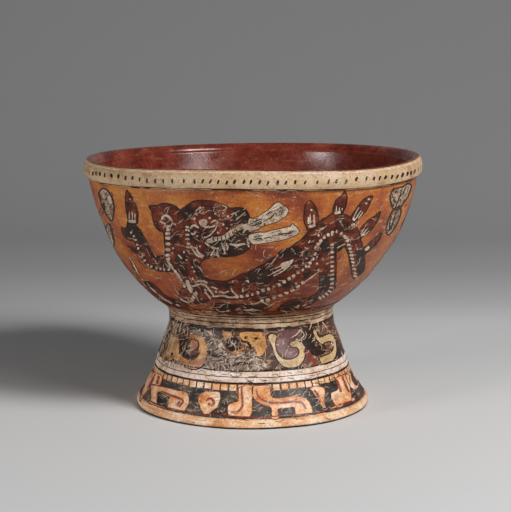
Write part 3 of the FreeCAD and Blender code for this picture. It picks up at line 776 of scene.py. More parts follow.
# Yellow ochre slip with kaolin: the scrolls' pale ribbons
yellow_paint = slip(
    "brushed_yellow_slip", ["#A47A4C", "#BC9868", "#CAAA7C", "#D2B890"], "#8A6A48",
    worn_from=0.60, rough=0.46, veins=0.3, cloud=8)
# Ochre and kaolin slip: the peach of the frets and the blocks over them
rose_paint = slip(
    "brushed_rose_slip", ["#C46C36", "#E6A266", "#F2C096", "#F8DAC2"], "#EAD2BC",
    worn_from=0.61, rough=0.44, veins=0.5, cloud=9)
# A red wash at the edges of the frets' lines
blush_paint = slip(
    "brushed_blush_slip", ["#A8583A", "#BC7054", "#CC8870"], "#E6C2A8",
    worn_from=0.58, rough=0.44, veins=0.6, cloud=5)
# Red slip let down with kaolin: the crescent's dull pink
pink_paint = slip(
    "brushed_pink_slip", ["#94503C", "#A8644C", "#B87C60"], "#C8A488",
    worn_from=0.60, rough=0.44, veins=0.6)
# Iron-red slip for a fine brush: the frets' red lines
red_paint = slip(
    "brushed_red_slip", ["#5E221A", "#762E22", "#8A4030"], "#B07C5C",
    worn_from=0.63, rough=0.42, veins=0.4)
# Dark slip worn down to the clay, and partly a painted sheen of light on the stand: the scrolls'
# greyed ground
grey_worn_and_sheen_paint = slip(
    "worn_grey_and_sheen_slip", ["#3A2A22", "#604A3E", "#867062", "#A28E7E"], "#C4B4A2",
    worn_from=0.53, rough=0.5, veins=0.9, cloud=2.5)
# Red slip over dark: the mauve inside the scrolls
mauve_paint = slip(
    "brushed_mauve_slip", ["#4A2622", "#60322F", "#784644"], "#B08C80",
    worn_from=0.60, rough=0.44, veins=0.6, cloud=8)


# The clay, and the coats over it

FOOT_SEAT, FOOT_HEEL = (63.1, 2.34), (62.1, 3.9)  # where the wall's inside ends in the roll
BEVEL_SEAT, BEVEL_FOOT = (46.1, 58.75), (NECK, 57.55)  # the stand's edge, cut away for the lute
JOINT_END = -60.5  # angle on the belly where the outer lute ends in that cut
INNER_ROUND, INNER_ROUND_END = 1.0, -148  # radius and last angle of the roll's inner edge
INNER_ROUND_OUT = 64.9


def edge(radius):
    """The angle about the side's centre at which the wall's level edge cuts a circle."""
    return math.degrees(math.asin((STAND_HEIGHT + BOWL_DEPTH - side_centre[1]) / radius))


def bowl_section():
    """The bowl's wall, up to an edge that is cut level."""
    outer = [Arc(*belly_centre, BELLY, -90, JOIN), Arc(*side_centre, SIDE, JOIN, edge(SIDE))]
    inner = [Arc(*side_centre, INNER_SIDE, edge(INNER_SIDE), JOIN), inner_belly]
    return trace(outer) + trace(inner, 0, COARSE)


def rim_section():
    """The coil that caps the wall's edge and laps down over both of its sides."""
    face = [Arc(*RIM_CENTRE, RIM_FACE, RIM_FOOT, RIM_TOP),
            Arc(*corner_centre, RIM_CORNER, RIM_TOP, LIP_TOP), lip]
    seat = [Arc(*side_centre, INNER_SIDE, INNER_LAP, edge(INNER_SIDE)),
            Arc(*side_centre, SIDE, edge(SIDE), LAP)]
    return trace(face + seat, 0, MEDIUM)


def stand_section():
    """The stand's wall: down its outside from the bevel, and back up its hollow inside."""
    outer = [Line(*BEVEL_SEAT, *BEVEL_FOOT), Line(*BEVEL_FOOT, NECK, neck_centre[1]), neck_bend,
             flank, waist, lower_flank, ankle_bend, apron]
    ankle, bend = ANKLE_BEND + STAND_WALL, NECK_BEND + STAND_WALL
    top = belly_centre[1] - math.sqrt(BELLY ** 2 - INNER_NECK ** 2)
    inner = [Line(*FOOT_SEAT, *FOOT_HEEL), Line(*FOOT_HEEL, *swung(ankle_centre, ankle, SPLAY)),
             Arc(*ankle_centre, ankle, SPLAY, FLARE), Arc(*neck_centre, bend, FLARE, 180),
             Line(INNER_NECK, neck_centre[1], INNER_NECK, top)]
    return trace(outer, 0, MEDIUM) + trace(inner)


def roll_section():
    """The roll at the foot, pressed flat by the pot's own weight."""
    top = math.degrees(math.acos(ROLL_INSET / ROLL))
    flat = -math.degrees(math.asin(ROLL_HEIGHT / ROLL))
    inner_centre = (INNER_ROUND_OUT, INNER_ROUND)
    return trace([Arc(*roll_centre, ROLL, top, flat),
                  Line(swung(roll_centre, ROLL, flat)[0], 0, INNER_ROUND_OUT, 0),
                  Arc(*inner_centre, INNER_ROUND, -90, INNER_ROUND_END),
                  Line(*swung(inner_centre, INNER_ROUND, INNER_ROUND_END), *FOOT_HEEL)], 0, 0.8)


def under_lute_section():
    """The clay worked into the corner between belly and stand, inside the hollow."""
    top = -math.degrees(math.acos((INNER_NECK - UNDER_LUTE) / (BELLY + UNDER_LUTE)))
    end = -math.degrees(math.acos(INNER_NECK / BELLY))
    centre = swung(belly_centre, BELLY + UNDER_LUTE, top)
    return trace([Arc(*centre, UNDER_LUTE, 0, 180 + top), Arc(*belly_centre, BELLY, top, end)])


def make_clay():
    """The pieces that the potter joins: bowl, rim coil, stand, foot roll and the two lutes."""
    joint = trace([Arc(*lute_centre, LUTE, 180, 180 + LUTE_TOP),
                   Arc(*belly_centre, BELLY, LUTE_TOP, JOINT_END)]) + [BEVEL_FOOT]
    for name, loop, node, segments in (
            ("bowl_clay", bowl_section(), "bowl", HIDDEN_ROUND),
            ("rim_coil_clay", rim_section(), "rim_coil", HIDDEN_ROUND),
            ("stand_clay", stand_section(), "stand", HIDDEN_ROUND),
            ("foot_roll_clay", roll_section(), "foot_roll", ROUND),
            ("neck_lute_clay", joint, "neck_lute", HIDDEN_ROUND),
            ("under_lute_clay", under_lute_section(), "under_lute", HIDDEN_ROUND)):
        revolve(name, loop, earthenware, node, segments)


def make_coats():
    """The eight coats of slip, one to a zone."""
    for name, stretches, material, slot in (
            ("interior_slip", [lip_corner, lip, inner_side, inner_belly], red_lining, "red_slip"),
            ("rim_slip", [rim_corner, rim_face], cream_coat, "cream_slip"),
            ("wall_slip", [side, belly], ochre_coat, "ochre_slip"),
            ("neck_slip", [lute, neck], tan_coat, "cream_slip"),
            ("scroll_slip", [neck_bend, flank], brown_coat, "brown_slip"),
            ("waist_slip", [waist], chalk_coat, "cream_slip"),
            ("fret_slip", [lower_flank, ankle_bend, apron], black_coat, "black_slip"),
            ("roll_slip", [roll], pale_ochre_coat, "ochre_slip")):
        revolve(name.replace("slip", "coat"), coated(stretches), material, name)


# The rim: a row of dabs between two lines, and a painted highlight along the lip

RIM_LINE, LIP_HIGHLIGHT_ROW = 190.0, 172.8
HIDDEN_DABS = 50
RIM_DABS = pixels(
    93, 173.5, 96.3, 173.5, 99.9, 174, 104.8, 175, 111.5, 175.8, 118.5, 176.3, 125.5, 178,
    132.5, 178, 139.5, 179.3, 147, 180.7, 155.3, 180.9, 163.3, 181, 172.3, 181, 183.8, 181,
    194.5, 181.3, 202.8, 181.2, 210.3, 181.6, 218.3, 182, 226.8, 182.4, 234.6, 181.9, 244, 181.8,
    251, 182, 259.8, 182.2, 268, 183.2, 277.5, 182.5, 286, 182.6, 295.2, 182.2, 305.2, 182.3,
    317.5, 182, 328.5, 181.8, 336.5, 181.3, 346, 181.5, 356.5, 179, 366.5, 178.4, 374, 178.5,
    379.7, 178.2, 385.5, 177.4, 392, 177, 397.4, 176.5, 402.5, 175, 407.5, 173.8, 411, 173,
    414.5, 171.5)


def paint_rim():
    dabs = Brushwork("rim_dabs", soot_and_shade_paint, "brown_slip", 0.06)
    for x, y in RIM_DABS:
        lean = 0 if x < 200 else 20
        dabs.dab(x, y, hand.uniform(4.2, 5.2), hand.uniform(1.8, 2.4), lean + hand.uniform(-6, 8))
    (first, level), (last, _) = spot(RIM_DABS[0]), spot(RIM_DABS[-1])
    for k in range(1, HIDDEN_DABS):
        turn = last + (math.tau + first - last) * k / HIDDEN_DABS
        dabs.touch(turn, level, hand.uniform(2.5, 3.1), hand.uniform(1.1, 1.4))
    dabs.finish()
    crease = Brushwork("rim_crease_line", line_paint, "black_slip", 0.06)
    crease.ring(RIM_LINE, 1.2, 0.35)
    crease.finish()
    # A painted highlight: a thin pale ring along the lip's crest
    crest = Brushwork("rim_lip_highlight", lip_highlight_paint, "cream_slip", 0.04)
    crest.ring(LIP_HIGHLIGHT_ROW, 0.9, 0.2)
    crest.finish()


# The bowl's wall: a feathered serpent, three times round

SERPENT = pixels(
    149, 206.5, 152, 205.7, 158, 205.3, 162, 203.5, 168, 203.6, 173, 204.8, 177, 207, 180, 210.5,
    180, 210.5, 184, 207.5, 188, 204.5, 192, 202, 196, 200.7, 202, 200, 208, 200.4, 214, 201.5,
    219, 203, 223.5, 205, 231, 207.8, 236, 207.5, 241, 207.6, 245, 209.2, 249, 215, 249.5, 222,
    250.5, 235, 250.5, 246, 247, 250.5, 240, 254.5, 230, 256.3, 220, 256.8, 210, 257.8, 204, 259,
    200, 264, 199.8, 269, 203, 275.5, 208, 279, 214, 280.6, 226, 281, 234, 278, 242, 274, 250, 271,
    258, 267, 264, 264, 270, 260, 276, 256, 281, 251, 290, 247.5, 296, 243, 301, 239.5, 309, 231,
    319.5, 222, 325, 218.5, 331, 214, 336, 214.5, 342, 213.8, 347, 215.5, 351, 218, 354, 221.5,
    356, 226, 359.5, 233, 361, 240, 363, 248, 364, 256, 364.5, 265, 364, 270, 360, 274, 356, 276,
    354, 279, 352, 274, 350.5, 266, 349, 258, 347.5, 252, 344, 246.5, 340, 250, 336, 252.5,
    336, 252.5, 336, 262, 336, 275, 335.5, 286, 330, 292.5, 322, 298.5, 311, 301, 309, 298,
    318, 292, 319.5, 285, 319.5, 272, 319.5, 272, 314, 275, 308, 279.5, 303, 283, 298, 286.5,
    292, 291, 284, 294, 277, 297, 270, 299.5, 262, 301.5, 250, 299, 236, 299.5, 214, 298, 206, 301,
    196, 301, 190, 303, 182, 302, 179, 298, 180, 291, 185, 287, 182, 280, 178.5, 275, 174, 271.5,
    165, 271.5, 158, 270.5, 152, 268, 147, 265, 143.5, 261, 141, 256.5, 139.5, 252.5, 137, 248,
    136, 244, 134, 241, 131, 240.5, 128, 239, 124.5, 236, 122.5, 232, 121.5, 227, 125, 229.5,
    127, 226, 128, 221, 131, 221.5, 135, 224.5, 138, 227.5, 141, 231, 143.5, 236, 147, 242,
    149.5, 248, 152, 253, 155.5, 256, 163, 255.5, 165.5, 252, 164.5, 240, 163.5, 232.5, 159, 230.5,
    155.5, 226.5, 153.5, 222, 152.3, 216, 151.5, 211)
KNIFE_CLAW = pixels(
    127, 190, 129, 192.5, 132, 197, 134, 202, 136.5, 207, 138, 213, 138, 219, 136.5, 224,
    129.5, 222, 128, 218, 126.5, 211, 125.5, 203, 125.7, 195)
KNIFE_OVAL = pixels(
    304, 214, 305, 206, 307, 202.5, 310, 200.8, 313, 203, 316.5, 209, 318.5, 217, 318.5, 222,
    316, 228, 309, 231, 305.5, 225.5, 304, 220)
KNIFE_TALL = pixels(
    345, 190.8, 346.8, 195, 347, 200, 346, 205, 344.5, 209.5, 342, 213.5, 338, 214.5, 333, 214,
    332.8, 210, 334, 206, 335.2, 202, 336, 200, 340, 197, 343, 193.5)
KNIFE_BACK = pixels(
    372.5, 197, 370, 203, 366.5, 210, 362, 215, 357, 219.5, 354, 221.5, 351, 219, 352.5, 214.5,
    356, 209, 360, 203.5, 364, 199, 368, 196.8, 371, 195.8)
KNIFE_SIDE = pixels(
    380.5, 211.5, 379.5, 216, 376.5, 222, 373, 228, 369, 232, 364, 236, 360.5, 237.5, 359.3, 233,
    360, 229.5, 364, 224.5, 369, 219.5, 375, 215.5)
KNIFE_LOW = pixels(
    381.5, 232.5, 380, 238, 376, 244, 371, 248.5, 366, 253.5, 364.5, 254.5, 363, 250, 366, 246,
    372, 241, 377, 236.5)
KNIVES = (KNIFE_CLAW, KNIFE_OVAL, KNIFE_TALL, KNIFE_BACK, KNIFE_SIDE, KNIFE_LOW)
TONGUE_TOP = pixels(
    249, 219, 253, 218.5, 258, 216.5, 263, 213.8, 268, 210, 274, 205, 276, 203, 279, 202.6,
    282, 204.5, 285, 206.5, 288, 209.5, 287.5, 212.5, 285, 216, 281.5, 218.5, 277, 221, 272, 223,
    267, 224.5, 262, 226.5, 257, 229, 249, 231)
TONGUE_LOW = pixels(
    249, 235, 259, 232.8, 266, 232.5, 270, 231, 276, 229.8, 284, 228, 291, 226, 292.5, 224,
    296, 227, 299, 231, 297.5, 233.5, 293, 236.5, 286, 238.8, 278, 240.5, 270, 241.8, 262, 243.3,
    252, 243.5)
LEAF_FOOT = pixels(
    277.5, 309, 283, 304, 290, 301, 300, 299, 308, 298, 316, 299, 313, 303, 305, 307, 296, 309.5,
    285, 310.5, 279, 310.5)
LEAF_LEFT = pixels(
    144.5, 281.5, 149, 282, 155, 285.5, 159, 289.5, 165, 295, 178, 306, 165, 302, 158, 297,
    152, 291, 148, 287)
SHOULDER_SEAL = pixels(
    98.8, 193, 101, 189.5, 104.5, 188.6, 108.5, 191.5, 111.5, 197, 113.5, 203, 114.3, 210,
    113.4, 216.5, 111.7, 221, 108.5, 217.5, 104.5, 211, 101.5, 203, 99.5, 197)
BELLY_SEAL = pixels(
    106, 228, 107.5, 224.5, 109.3, 224.5, 111.2, 229, 113, 236, 114.3, 243, 113, 248, 110, 243,
    107, 236)
RIGHT_SEAL = pixels(
    411, 185, 408, 183.5, 403, 186.5, 399, 187.5, 394, 189, 391, 193.5, 390, 199, 391.5, 204,
    393, 208.5, 396, 210, 400, 208, 404, 202, 408, 196, 410.5, 190)
RIGHT_SEAL_LOW = pixels(
    400, 206.5, 396.5, 207.5, 393, 210.5, 390.5, 215, 388, 220.5, 386.5, 227, 386.3, 233,
    388.5, 235, 392, 231.5, 395.5, 226, 399, 219, 400.8, 212)

# Copies round the pot: the middle turned about, the squeeze and the turn, in degrees
PANELS = ((-93, 1, 0), (-93, 0.864, 123), (-93, 0.864, -123))
SEAL_COPY = ((0, 1, 0), (0, 1, 246))

RUST_PATCHES = (
    pixels(262, 191, 275, 190.5, 297, 192, 292, 197, 280, 199, 268, 197),
    pixels(193, 300, 204, 299, 215, 301, 213, 309, 204, 313, 194, 310),
    pixels(213, 299, 230, 298, 250, 299.5, 249, 304, 232, 305, 216, 304.5),
    pixels(322, 218, 334, 220, 330, 228, 316, 238, 306, 244, 312, 232))
# Dark patches low on the belly: dark paint, and partly painted shade under the belly
DARK_AND_SHADE_PATCHES = (
    pixels(182, 288, 190, 291, 192, 299, 184, 303, 179, 297),
    pixels(166, 296, 178, 300, 190, 306, 192, 311, 178, 308, 170, 302),
    pixels(212, 305, 226, 303.5, 242, 306, 262, 304.5, 272, 307, 262, 311.5, 236, 312.5, 218, 311))


def paint_stains():
    """Where the slip went on thickly and fired to rust, and dark patches low on the belly that are
    partly painted shade under it.
    """
    for name, paint, slot, outlines in (("wall_rust", rust_paint, "ochre_slip", RUST_PATCHES),
                                        ("wall_dark_and_shade", plum_paint, "brown_slip", DARK_AND_SHADE_PATCHES)):
        work = Brushwork(name, paint, slot, 0.03, PANELS)
        work.patches(*outlines)
        work.finish()


NECK_LEAVES = (
    pixels(129, 256, 132, 259, 136, 266, 140, 274, 138, 275, 133, 268, 130, 261),
    pixels(127.5, 246, 132, 245.5, 137, 249, 141, 254, 135, 253, 130, 250))
SOOT_AND_SHADE_PATCHES = (
    pixels(211, 207.5, 214, 207, 215.8, 209, 215.5, 212.5, 212.5, 213, 210.5, 211),
    pixels(123, 229.5, 127, 226.5, 129, 222.5, 132, 223, 136, 227, 140, 231.5, 143.5, 238, 147, 245,
           143, 246, 139, 241, 134, 238, 127, 236.5),
    pixels(224.5, 221.5, 229, 221, 230, 224, 227, 226.5, 224.5, 225.5),
    pixels(233, 209, 241, 208.3, 246, 211, 248, 216, 247.5, 222.5, 240, 224, 233, 222.5, 231, 217,
           234, 213),
    pixels(182, 212, 188, 209.5, 193, 211, 193.5, 216, 188, 218, 183, 216),
    pixels(210, 243, 219, 240, 226, 238.5, 233, 236, 239, 231, 246, 229, 249, 236, 248.5, 249,
           240, 253.5, 230, 255.3, 220, 255.5, 210, 252),
    pixels(176, 256, 182, 257, 183, 262, 179, 266, 175, 262),
    pixels(190, 260, 195, 261, 196, 265, 192, 266), pixels(182, 268, 187, 270, 187, 276, 182, 274),
    pixels(195, 262, 199, 264, 199, 272, 204, 279, 199, 280, 195, 272),
    pixels(249, 272, 258, 269, 266, 269, 270, 275, 269, 283, 262, 286, 253, 285, 248, 279),
    pixels(280, 254, 289, 249, 297, 246, 302, 250, 298, 256, 288, 258, 281, 258),
    pixels(259, 292, 266, 291, 270, 294, 266, 297, 260, 296),
    pixels(283, 281, 290, 279, 290, 285, 285, 287), pixels(304, 271, 311, 270, 309, 276, 304, 278),
    pixels(305, 250, 311, 250, 311, 257, 306, 258), pixels(321, 241, 328, 239, 329, 251, 321, 251),
    pixels(320, 275, 329, 276, 328, 289, 320, 291),
    pixels(355.5, 250, 362, 250, 363.5, 257, 364, 266, 361, 273, 357, 274, 356, 262),
    pixels(335, 238, 342, 238, 343, 246, 338, 251, 334, 248),
    # The last three patches lie along the belly's underside: dark paint, and partly painted shade
    # there
    pixels(283, 304, 292, 302, 302, 301, 300, 304, 292, 307, 284, 308),
    pixels(213, 306, 222, 305, 232, 305, 240, 308, 230, 311, 218, 309.5),
    pixels(242, 305, 256, 305, 270, 308, 262, 311, 248, 311))
# A dark line under the belly: dark paint, and partly painted shade
SOOT_AND_SHADE_LINE = pixels(218, 313, 240, 314.5, 262, 314.5, 290, 312.5)


def paint_serpent():
    """The dark ground of the serpent, its knives and its leaves, and its dark patches, which along the
    belly's underside are partly painted shade.
    """
    plum = Brushwork("serpent_plum", plum_paint, "brown_slip", 0.05, PANELS)
    plum.patches(SERPENT, LEAF_FOOT, LEAF_LEFT, *KNIVES, *NECK_LEAVES)
    plum.finish()
    soot_and_shade = Brushwork("serpent_soot_and_shade", soot_and_shade_paint, "black_slip", 0.09, PANELS)
    soot_and_shade.patches(*SOOT_AND_SHADE_PATCHES)
    soot_and_shade.stroke(SOOT_AND_SHADE_LINE, 0.8, 1.4, 0.7)
    soot_and_shade.finish()


BELLY_FOOT = 311.8  # pixel row of the line under the serpent, at the middle of the picture
BODY_LINES = (
    pixels(182, 209.5, 178.5, 214, 177.5, 219), pixels(204, 243, 207, 249, 205, 258),
    pixels(174, 269, 179, 277, 184, 286), pixels(190, 300, 196, 303, 207, 302),
    pixels(236, 305, 252, 304, 268, 304), pixels(212, 304, 222, 303.5, 236, 305))


def paint_lines():
    """Dark lines round the shapes."""
    lines = Brushwork("serpent_lines", line_paint, "black_slip", 0.12, PANELS)
    lines.ring_of(SERPENT, 1.25)
    for outline in (TONGUE_TOP, TONGUE_LOW):
        lines.ring_of(outline, 1.5)
    for outline in (*KNIVES, LEAF_FOOT, LEAF_LEFT):
        lines.ring_of(outline, 1.15)
    lines.ring(BELLY_FOOT, 1.1, 0.6)
    lines.strokes(1.6, *BODY_LINES)
    lines.finish()


EAR_LINES = (
    pixels(162, 219.5, 162.5, 216.8, 165, 215.5, 168, 216.3, 171, 219, 172.5, 221.5),
    pixels(160, 221, 163, 223, 166, 225, 163, 227), pixels(172, 222.5, 176, 224.5))
SERPENT_EYE = pixels(199, 222, 200.5, 219.5, 204, 219, 207, 220.5, 208, 223, 205.5, 225.5, 201, 225)
EYE_CURL = pixels(
    201, 225, 205, 226.6, 210, 226.8, 214, 225.8, 217.5, 222.5, 215.5, 220.3, 212.5, 221.5,
    211, 224)
BROW_LINES = (
    pixels(217.5, 224, 214.5, 230.5, 210, 235, 204, 238),
    pixels(195.5, 211.5, 198, 209, 200.5, 206.5), pixels(231, 214.5, 235, 213, 236.5, 216),
    pixels(236, 220, 240.5, 216, 245, 212), pixels(222, 205, 226.5, 207.5, 223, 210.5))
UPPER_JAW = pixels(
    207, 239.5, 213, 237.5, 219, 236.5, 224, 235, 228, 231.5, 233, 228.5, 237, 226.5, 241, 225,
    246, 224.3, 250, 225, 250, 228.5, 244, 228.8, 240, 229.8, 236.5, 231.5, 232.5, 234.5, 228, 238,
    223, 239.8, 215, 241.2, 208, 243)
LOWER_JAW_LINES = (
    pixels(205, 242, 211, 246.8, 219, 248.5), pixels(230, 243.8, 237, 245.2, 245, 243.5))
TOOTH_LINES = (
    pixels(221, 243, 224, 248, 225, 254), pixels(226, 243, 228, 247, 227, 250),
    pixels(214.5, 249, 213, 252, 211, 255.5), pixels(217, 250, 217.5, 253, 218.5, 257),
    pixels(247, 238, 248, 243, 249, 247), pixels(243, 233, 245, 230, 248, 228.5))
CHEEK_LINES = (
    pixels(190.5, 229, 192.5, 226, 196, 225.5, 198.5, 228), pixels(191, 233, 194, 234, 196, 230.5))
HEAD_DOTS = pixels(
    215.5, 213.5, 196.5, 214.3, 194.5, 218.5, 223, 213, 228, 216.3, 223.3, 224.6, 218, 232.3,
    227, 228, 231.5, 224.5, 197, 236, 209.5, 217.8)


def cream_head(cream):
    cream.strokes(2.0, *EAR_LINES)
    cream.patch(SERPENT_EYE)
    cream.strokes(1.8, EYE_CURL)
    cream.strokes(1.2, *BROW_LINES)
    cream.patch(UPPER_JAW)
    cream.strokes(2.2, *LOWER_JAW_LINES)
    cream.strokes(1.9, *TOOTH_LINES)
    cream.strokes(2.3, *CHEEK_LINES)
    cream.dots(HEAD_DOTS, 2.1)


NECK_DOTS = pixels(
    131.3, 232.5, 134, 236, 136, 240, 137.5, 244.5, 138.5, 248.3, 140.3, 252.3, 142.3, 256.7,
    144.7, 260.3, 148, 264.6, 151.5, 266.2, 156.5, 268, 160.7, 268.7, 164.5, 269.3, 168.8, 269.5)
NECK_ROW = pixels(168, 233.5, 168, 246, 168.2, 259)
NECK_TOP = pixels(168.5, 225, 168.5, 231)
CHEST_ROW = pixels(168.5, 262, 172.5, 268, 178, 274.5, 181.5, 280, 184.5, 286)
THROAT_ROW = pixels(187.5, 227, 187.5, 238, 188.5, 247)
THROAT_LINES = (
    pixels(191, 246, 194, 251, 198, 256, 203, 256.5), pixels(195, 247, 199, 253, 204, 256))
CHEST_LINES = (
    pixels(196, 281.5, 202, 280.6, 207.5, 282.6),
    pixels(192, 287, 197, 284.5, 203, 284, 208, 288, 214.5, 297),
    pixels(219, 291, 224, 292.6, 229, 291), pixels(243, 288, 243.2, 292),
    pixels(212, 286, 218, 289), pixels(231, 288, 233, 292, 238, 296),
    pixels(204, 292, 208, 295, 211, 299), pixels(178, 254.5, 182, 258.5))
ARM_LINE = pixels(213, 296.5, 222, 295.5, 230, 297.2, 238, 296.2)
ARM_ROOT = pixels(186, 280, 189, 280.5, 190, 285, 193, 289, 191, 293, 188, 288, 186.5, 284)
ELBOW_ROW = pixels(191.5, 301.5, 193, 298, 196.5, 293)
CHEST_DOTS = pixels(
    172.5, 253, 173.5, 248, 184, 252, 186.8, 259.8, 195.3, 260.2, 194.5, 271.5, 192.5, 267,
    200, 246, 201.8, 298.6, 205, 289.5, 216, 291.5, 247.5, 280.5, 233, 281.5, 192.8, 278.5,
    205.5, 292.4)
NECK_LEAF_LINE = pixels(129.5, 257, 133, 262.5, 136, 269, 139.5, 275)
LEAF_LINES = (
    pixels(150, 287, 156, 292, 163, 298, 172, 303.5), pixels(180, 299, 184, 301, 190, 302.5),
    pixels(180, 306, 176, 304))


def cream_neck_and_arm(cream):
    cream.dots(NECK_DOTS, 2.3)
    cream.ladder(NECK_ROW, 6, 5.0, 3.0)
    cream.strokes(4.2, NECK_TOP)
    cream.ladder(CHEST_ROW, 9, 3.4, 2.2, 90)
    cream.ladder(THROAT_ROW, 6, 4.6, 2.2, 8)
    cream.strokes(1.9, *THROAT_LINES)
    cream.strokes(1.7, *CHEST_LINES)
    cream.strokes(2.0, ARM_LINE)
    cream.patch(ARM_ROOT)
    cream.ladder(ELBOW_ROW, 5, 4.6, 1.7, 30)
    cream.dots(CHEST_DOTS, 2.0)
    cream.stroke(NECK_LEAF_LINE, 0.9, 1.5, 0.8)
    cream.strokes(1.4, *LEAF_LINES)


def cream_tongue(cream):
    cream.patches(TONGUE_TOP, TONGUE_LOW)


BODY_ROW = pixels(
    237, 297, 246, 295.5, 253, 294, 259, 292, 265, 290, 271, 288, 277, 285.5, 282.5, 282.5,
    288, 279.3, 293, 276, 298, 272, 303, 269.5, 307, 265.5, 311, 262, 313.5, 257.5, 315, 253,
    315.5, 248)
SHOULDER_ROW = pixels(
    316, 247.5, 319, 243, 322.5, 238.5, 327.5, 235, 332, 232.5, 336.5, 231.5, 341, 233,
    344.5, 236.5)
TAIL_ROW = pixels(346, 238, 349, 246, 351, 253, 352.5, 261, 354, 269, 355, 276)
LEG_ROW = pixels(332, 244.5, 331.8, 262, 331.8, 277, 330.8, 289, 326, 294.5, 320, 298)
BELLY_ROW = pixels(262, 300.5, 270, 299, 277, 296.5, 284, 293.5, 292, 290.5, 298, 286, 303, 282.5)
BELLY_LINES = (
    pixels(250, 301.5, 254, 304, 260, 301.5), pixels(305, 281.5, 311, 277, 319, 271.5),
    pixels(262, 302, 268, 304.5))
FEATHER_LINES = (
    pixels(270, 270, 276, 267.5, 283, 264.5), pixels(272, 273.5, 278, 270.5, 284, 267),
    pixels(274, 276, 280, 272.5, 286, 269))
FEATHER_ROOT = pixels(
    293.5, 259.2, 289, 260.3, 283, 262.5, 280.5, 265, 282.5, 268.5, 286, 269.5, 289.5, 265.5,
    292.5, 261.8)
BACK_LINES = (
    pixels(291, 248.5, 294, 251, 295.5, 254), pixels(271, 264, 275, 259, 278, 254),
    pixels(304.5, 247.3, 308.3, 249), pixels(310, 240, 308.5, 243), pixels(247.5, 279.8, 249, 282),
    pixels(325.5, 264.5, 329, 262.5), pixels(337, 248, 341, 245.5, 345, 244))
BODY_DOTS = pixels(
    318.5, 235.3, 332, 234.5, 320, 242.8, 318, 247.7, 303, 263, 306.5, 258.5, 317, 263.5,
    316.8, 256.8, 309, 266.3, 318.8, 269.8, 300, 270.5, 297.5, 272.8, 340.5, 221.5, 352, 225.3,
    353.8, 224.2, 357, 248.8, 348.3, 239.5, 296, 283.5)
FOOT_LEAF_LINES = (
    pixels(296, 307.5, 299, 305.2), pixels(303, 306, 306.5, 303.6), pixels(309, 301.5, 313, 299.5))
UNDERSIDE_LINES = (
    pixels(236, 308.5, 244, 310, 254, 309.6, 262, 311), pixels(216, 309, 221, 311.5, 230, 310.5),
    pixels(275, 302.5, 268, 306.5))


def cream_body(cream):
    cream.ladder(BODY_ROW, 19, 3.1, 3.3, 20)
    cream.ladder(SHOULDER_ROW, 9, 3.2, 3.0, 25)
    cream.ladder(TAIL_ROW, 12, 3.8, 2.1, 25)
    cream.ladder(LEG_ROW, 15, 4.2, 2.2, -14)
    cream.ladder(BELLY_ROW, 8, 2.8, 4.2, 15)
    cream.strokes(1.5, *BELLY_LINES)
    cream.strokes(1.1, *FEATHER_LINES)
    cream.patch(FEATHER_ROOT)
    cream.strokes(1.3, *BACK_LINES)
    cream.dots(BODY_DOTS, 2.2)
    cream.strokes(1.3, *FOOT_LEAF_LINES)
    cream.strokes(1.0, *UNDERSIDE_LINES)


KNIFE_PRONGS = (  # a width, then the prongs that have it
    (1.1, pixels(129.3, 211, 129.4, 219), pixels(132.4, 211.5, 132.6, 219.5),
     pixels(135.2, 213, 135.4, 221), pixels(310, 214, 310.2, 222.5), pixels(336.5, 206, 336.2, 212),
     pixels(339.5, 207, 339.2, 212), pixels(342.2, 208, 342, 211), pixels(352.5, 219, 358.5, 207.5),
     pixels(355, 219.5, 361, 210.5), pixels(358, 218.5, 363, 212), pixels(360.3, 234, 367, 223.5),
     pixels(361.8, 236, 368, 227.5), pixels(364.3, 235.5, 369, 230.5)),
    (1.9, pixels(314, 214.5, 314.2, 225), pixels(308.3, 217, 308.5, 224)),
    (3.0, pixels(128.8, 220.5, 132.5, 221.5, 136, 221.5), pixels(308.5, 226.5, 312, 226, 315, 224.5),
     pixels(334.5, 213, 337.5, 212.5, 340.5, 212), pixels(352.8, 219, 355, 219.6),
     pixels(360.8, 235.5, 364, 233.5), pixels(364.8, 250, 366.5, 248.8, 369, 246.5)))
KNIFE_DOTS = pixels(130.5, 199, 311.5, 210, 366, 203.5, 368.3, 199)


def cream_knives(cream):
    """The pale teeth at the root of each knife."""
    for width, *lines in KNIFE_PRONGS:
        cream.strokes(width, *lines)
    cream.dots(KNIFE_DOTS, 1.9)


TONGUE_SCUFFS = ((13, (251, 219, 263, 227), 20), (13, (263, 213, 275, 221), 28),
                 (13, (274, 207, 285, 215), 35), (16, (253, 235, 274, 241), 8),
                 (15, (273, 231, 293, 236), 12))
SEAL_SCUFFS = {"left": ((26, (100, 192, 113, 216), 75), (8, (108, 228, 113, 243), 75)),
               "right": ((26, (391, 188, 408, 207), 60), (14, (388, 213, 397, 232), 75))}
JAW_NOTCHES = (
    pixels(221, 236.5, 222, 240), pixels(225, 235, 226, 238.5), pixels(228.5, 232.8, 230, 236),
    pixels(232, 230.5, 233.5, 233.8), pixels(235.8, 228.3, 237, 231),
    pixels(241.5, 226.5, 242, 229), pixels(213.5, 237.8, 214, 241), pixels(217.5, 237, 218, 240.5))
TONGUE_NOTCHES = (
    pixels(252, 226, 257, 224.6, 262, 222.2), pixels(267.5, 219.5, 271, 217.5, 274, 215),
    pixels(252, 239.5, 257, 238.8, 262, 238), pixels(264, 237.9, 271, 237),
    pixels(277, 235, 284, 233.5, 292, 232.2), pixels(254, 222, 262, 218.5),
    pixels(266, 214.5, 270, 211.5))
NOTCH_DOTS = pixels(275.7, 214, 280, 211, 280.4, 207.5, 187.5, 231, 187.5, 241.5, 170, 228)
EYE_NOTCHES = (pixels(206, 223.5, 210, 224.5, 212.5, 222.8), pixels(194, 229.5, 196, 231.5))


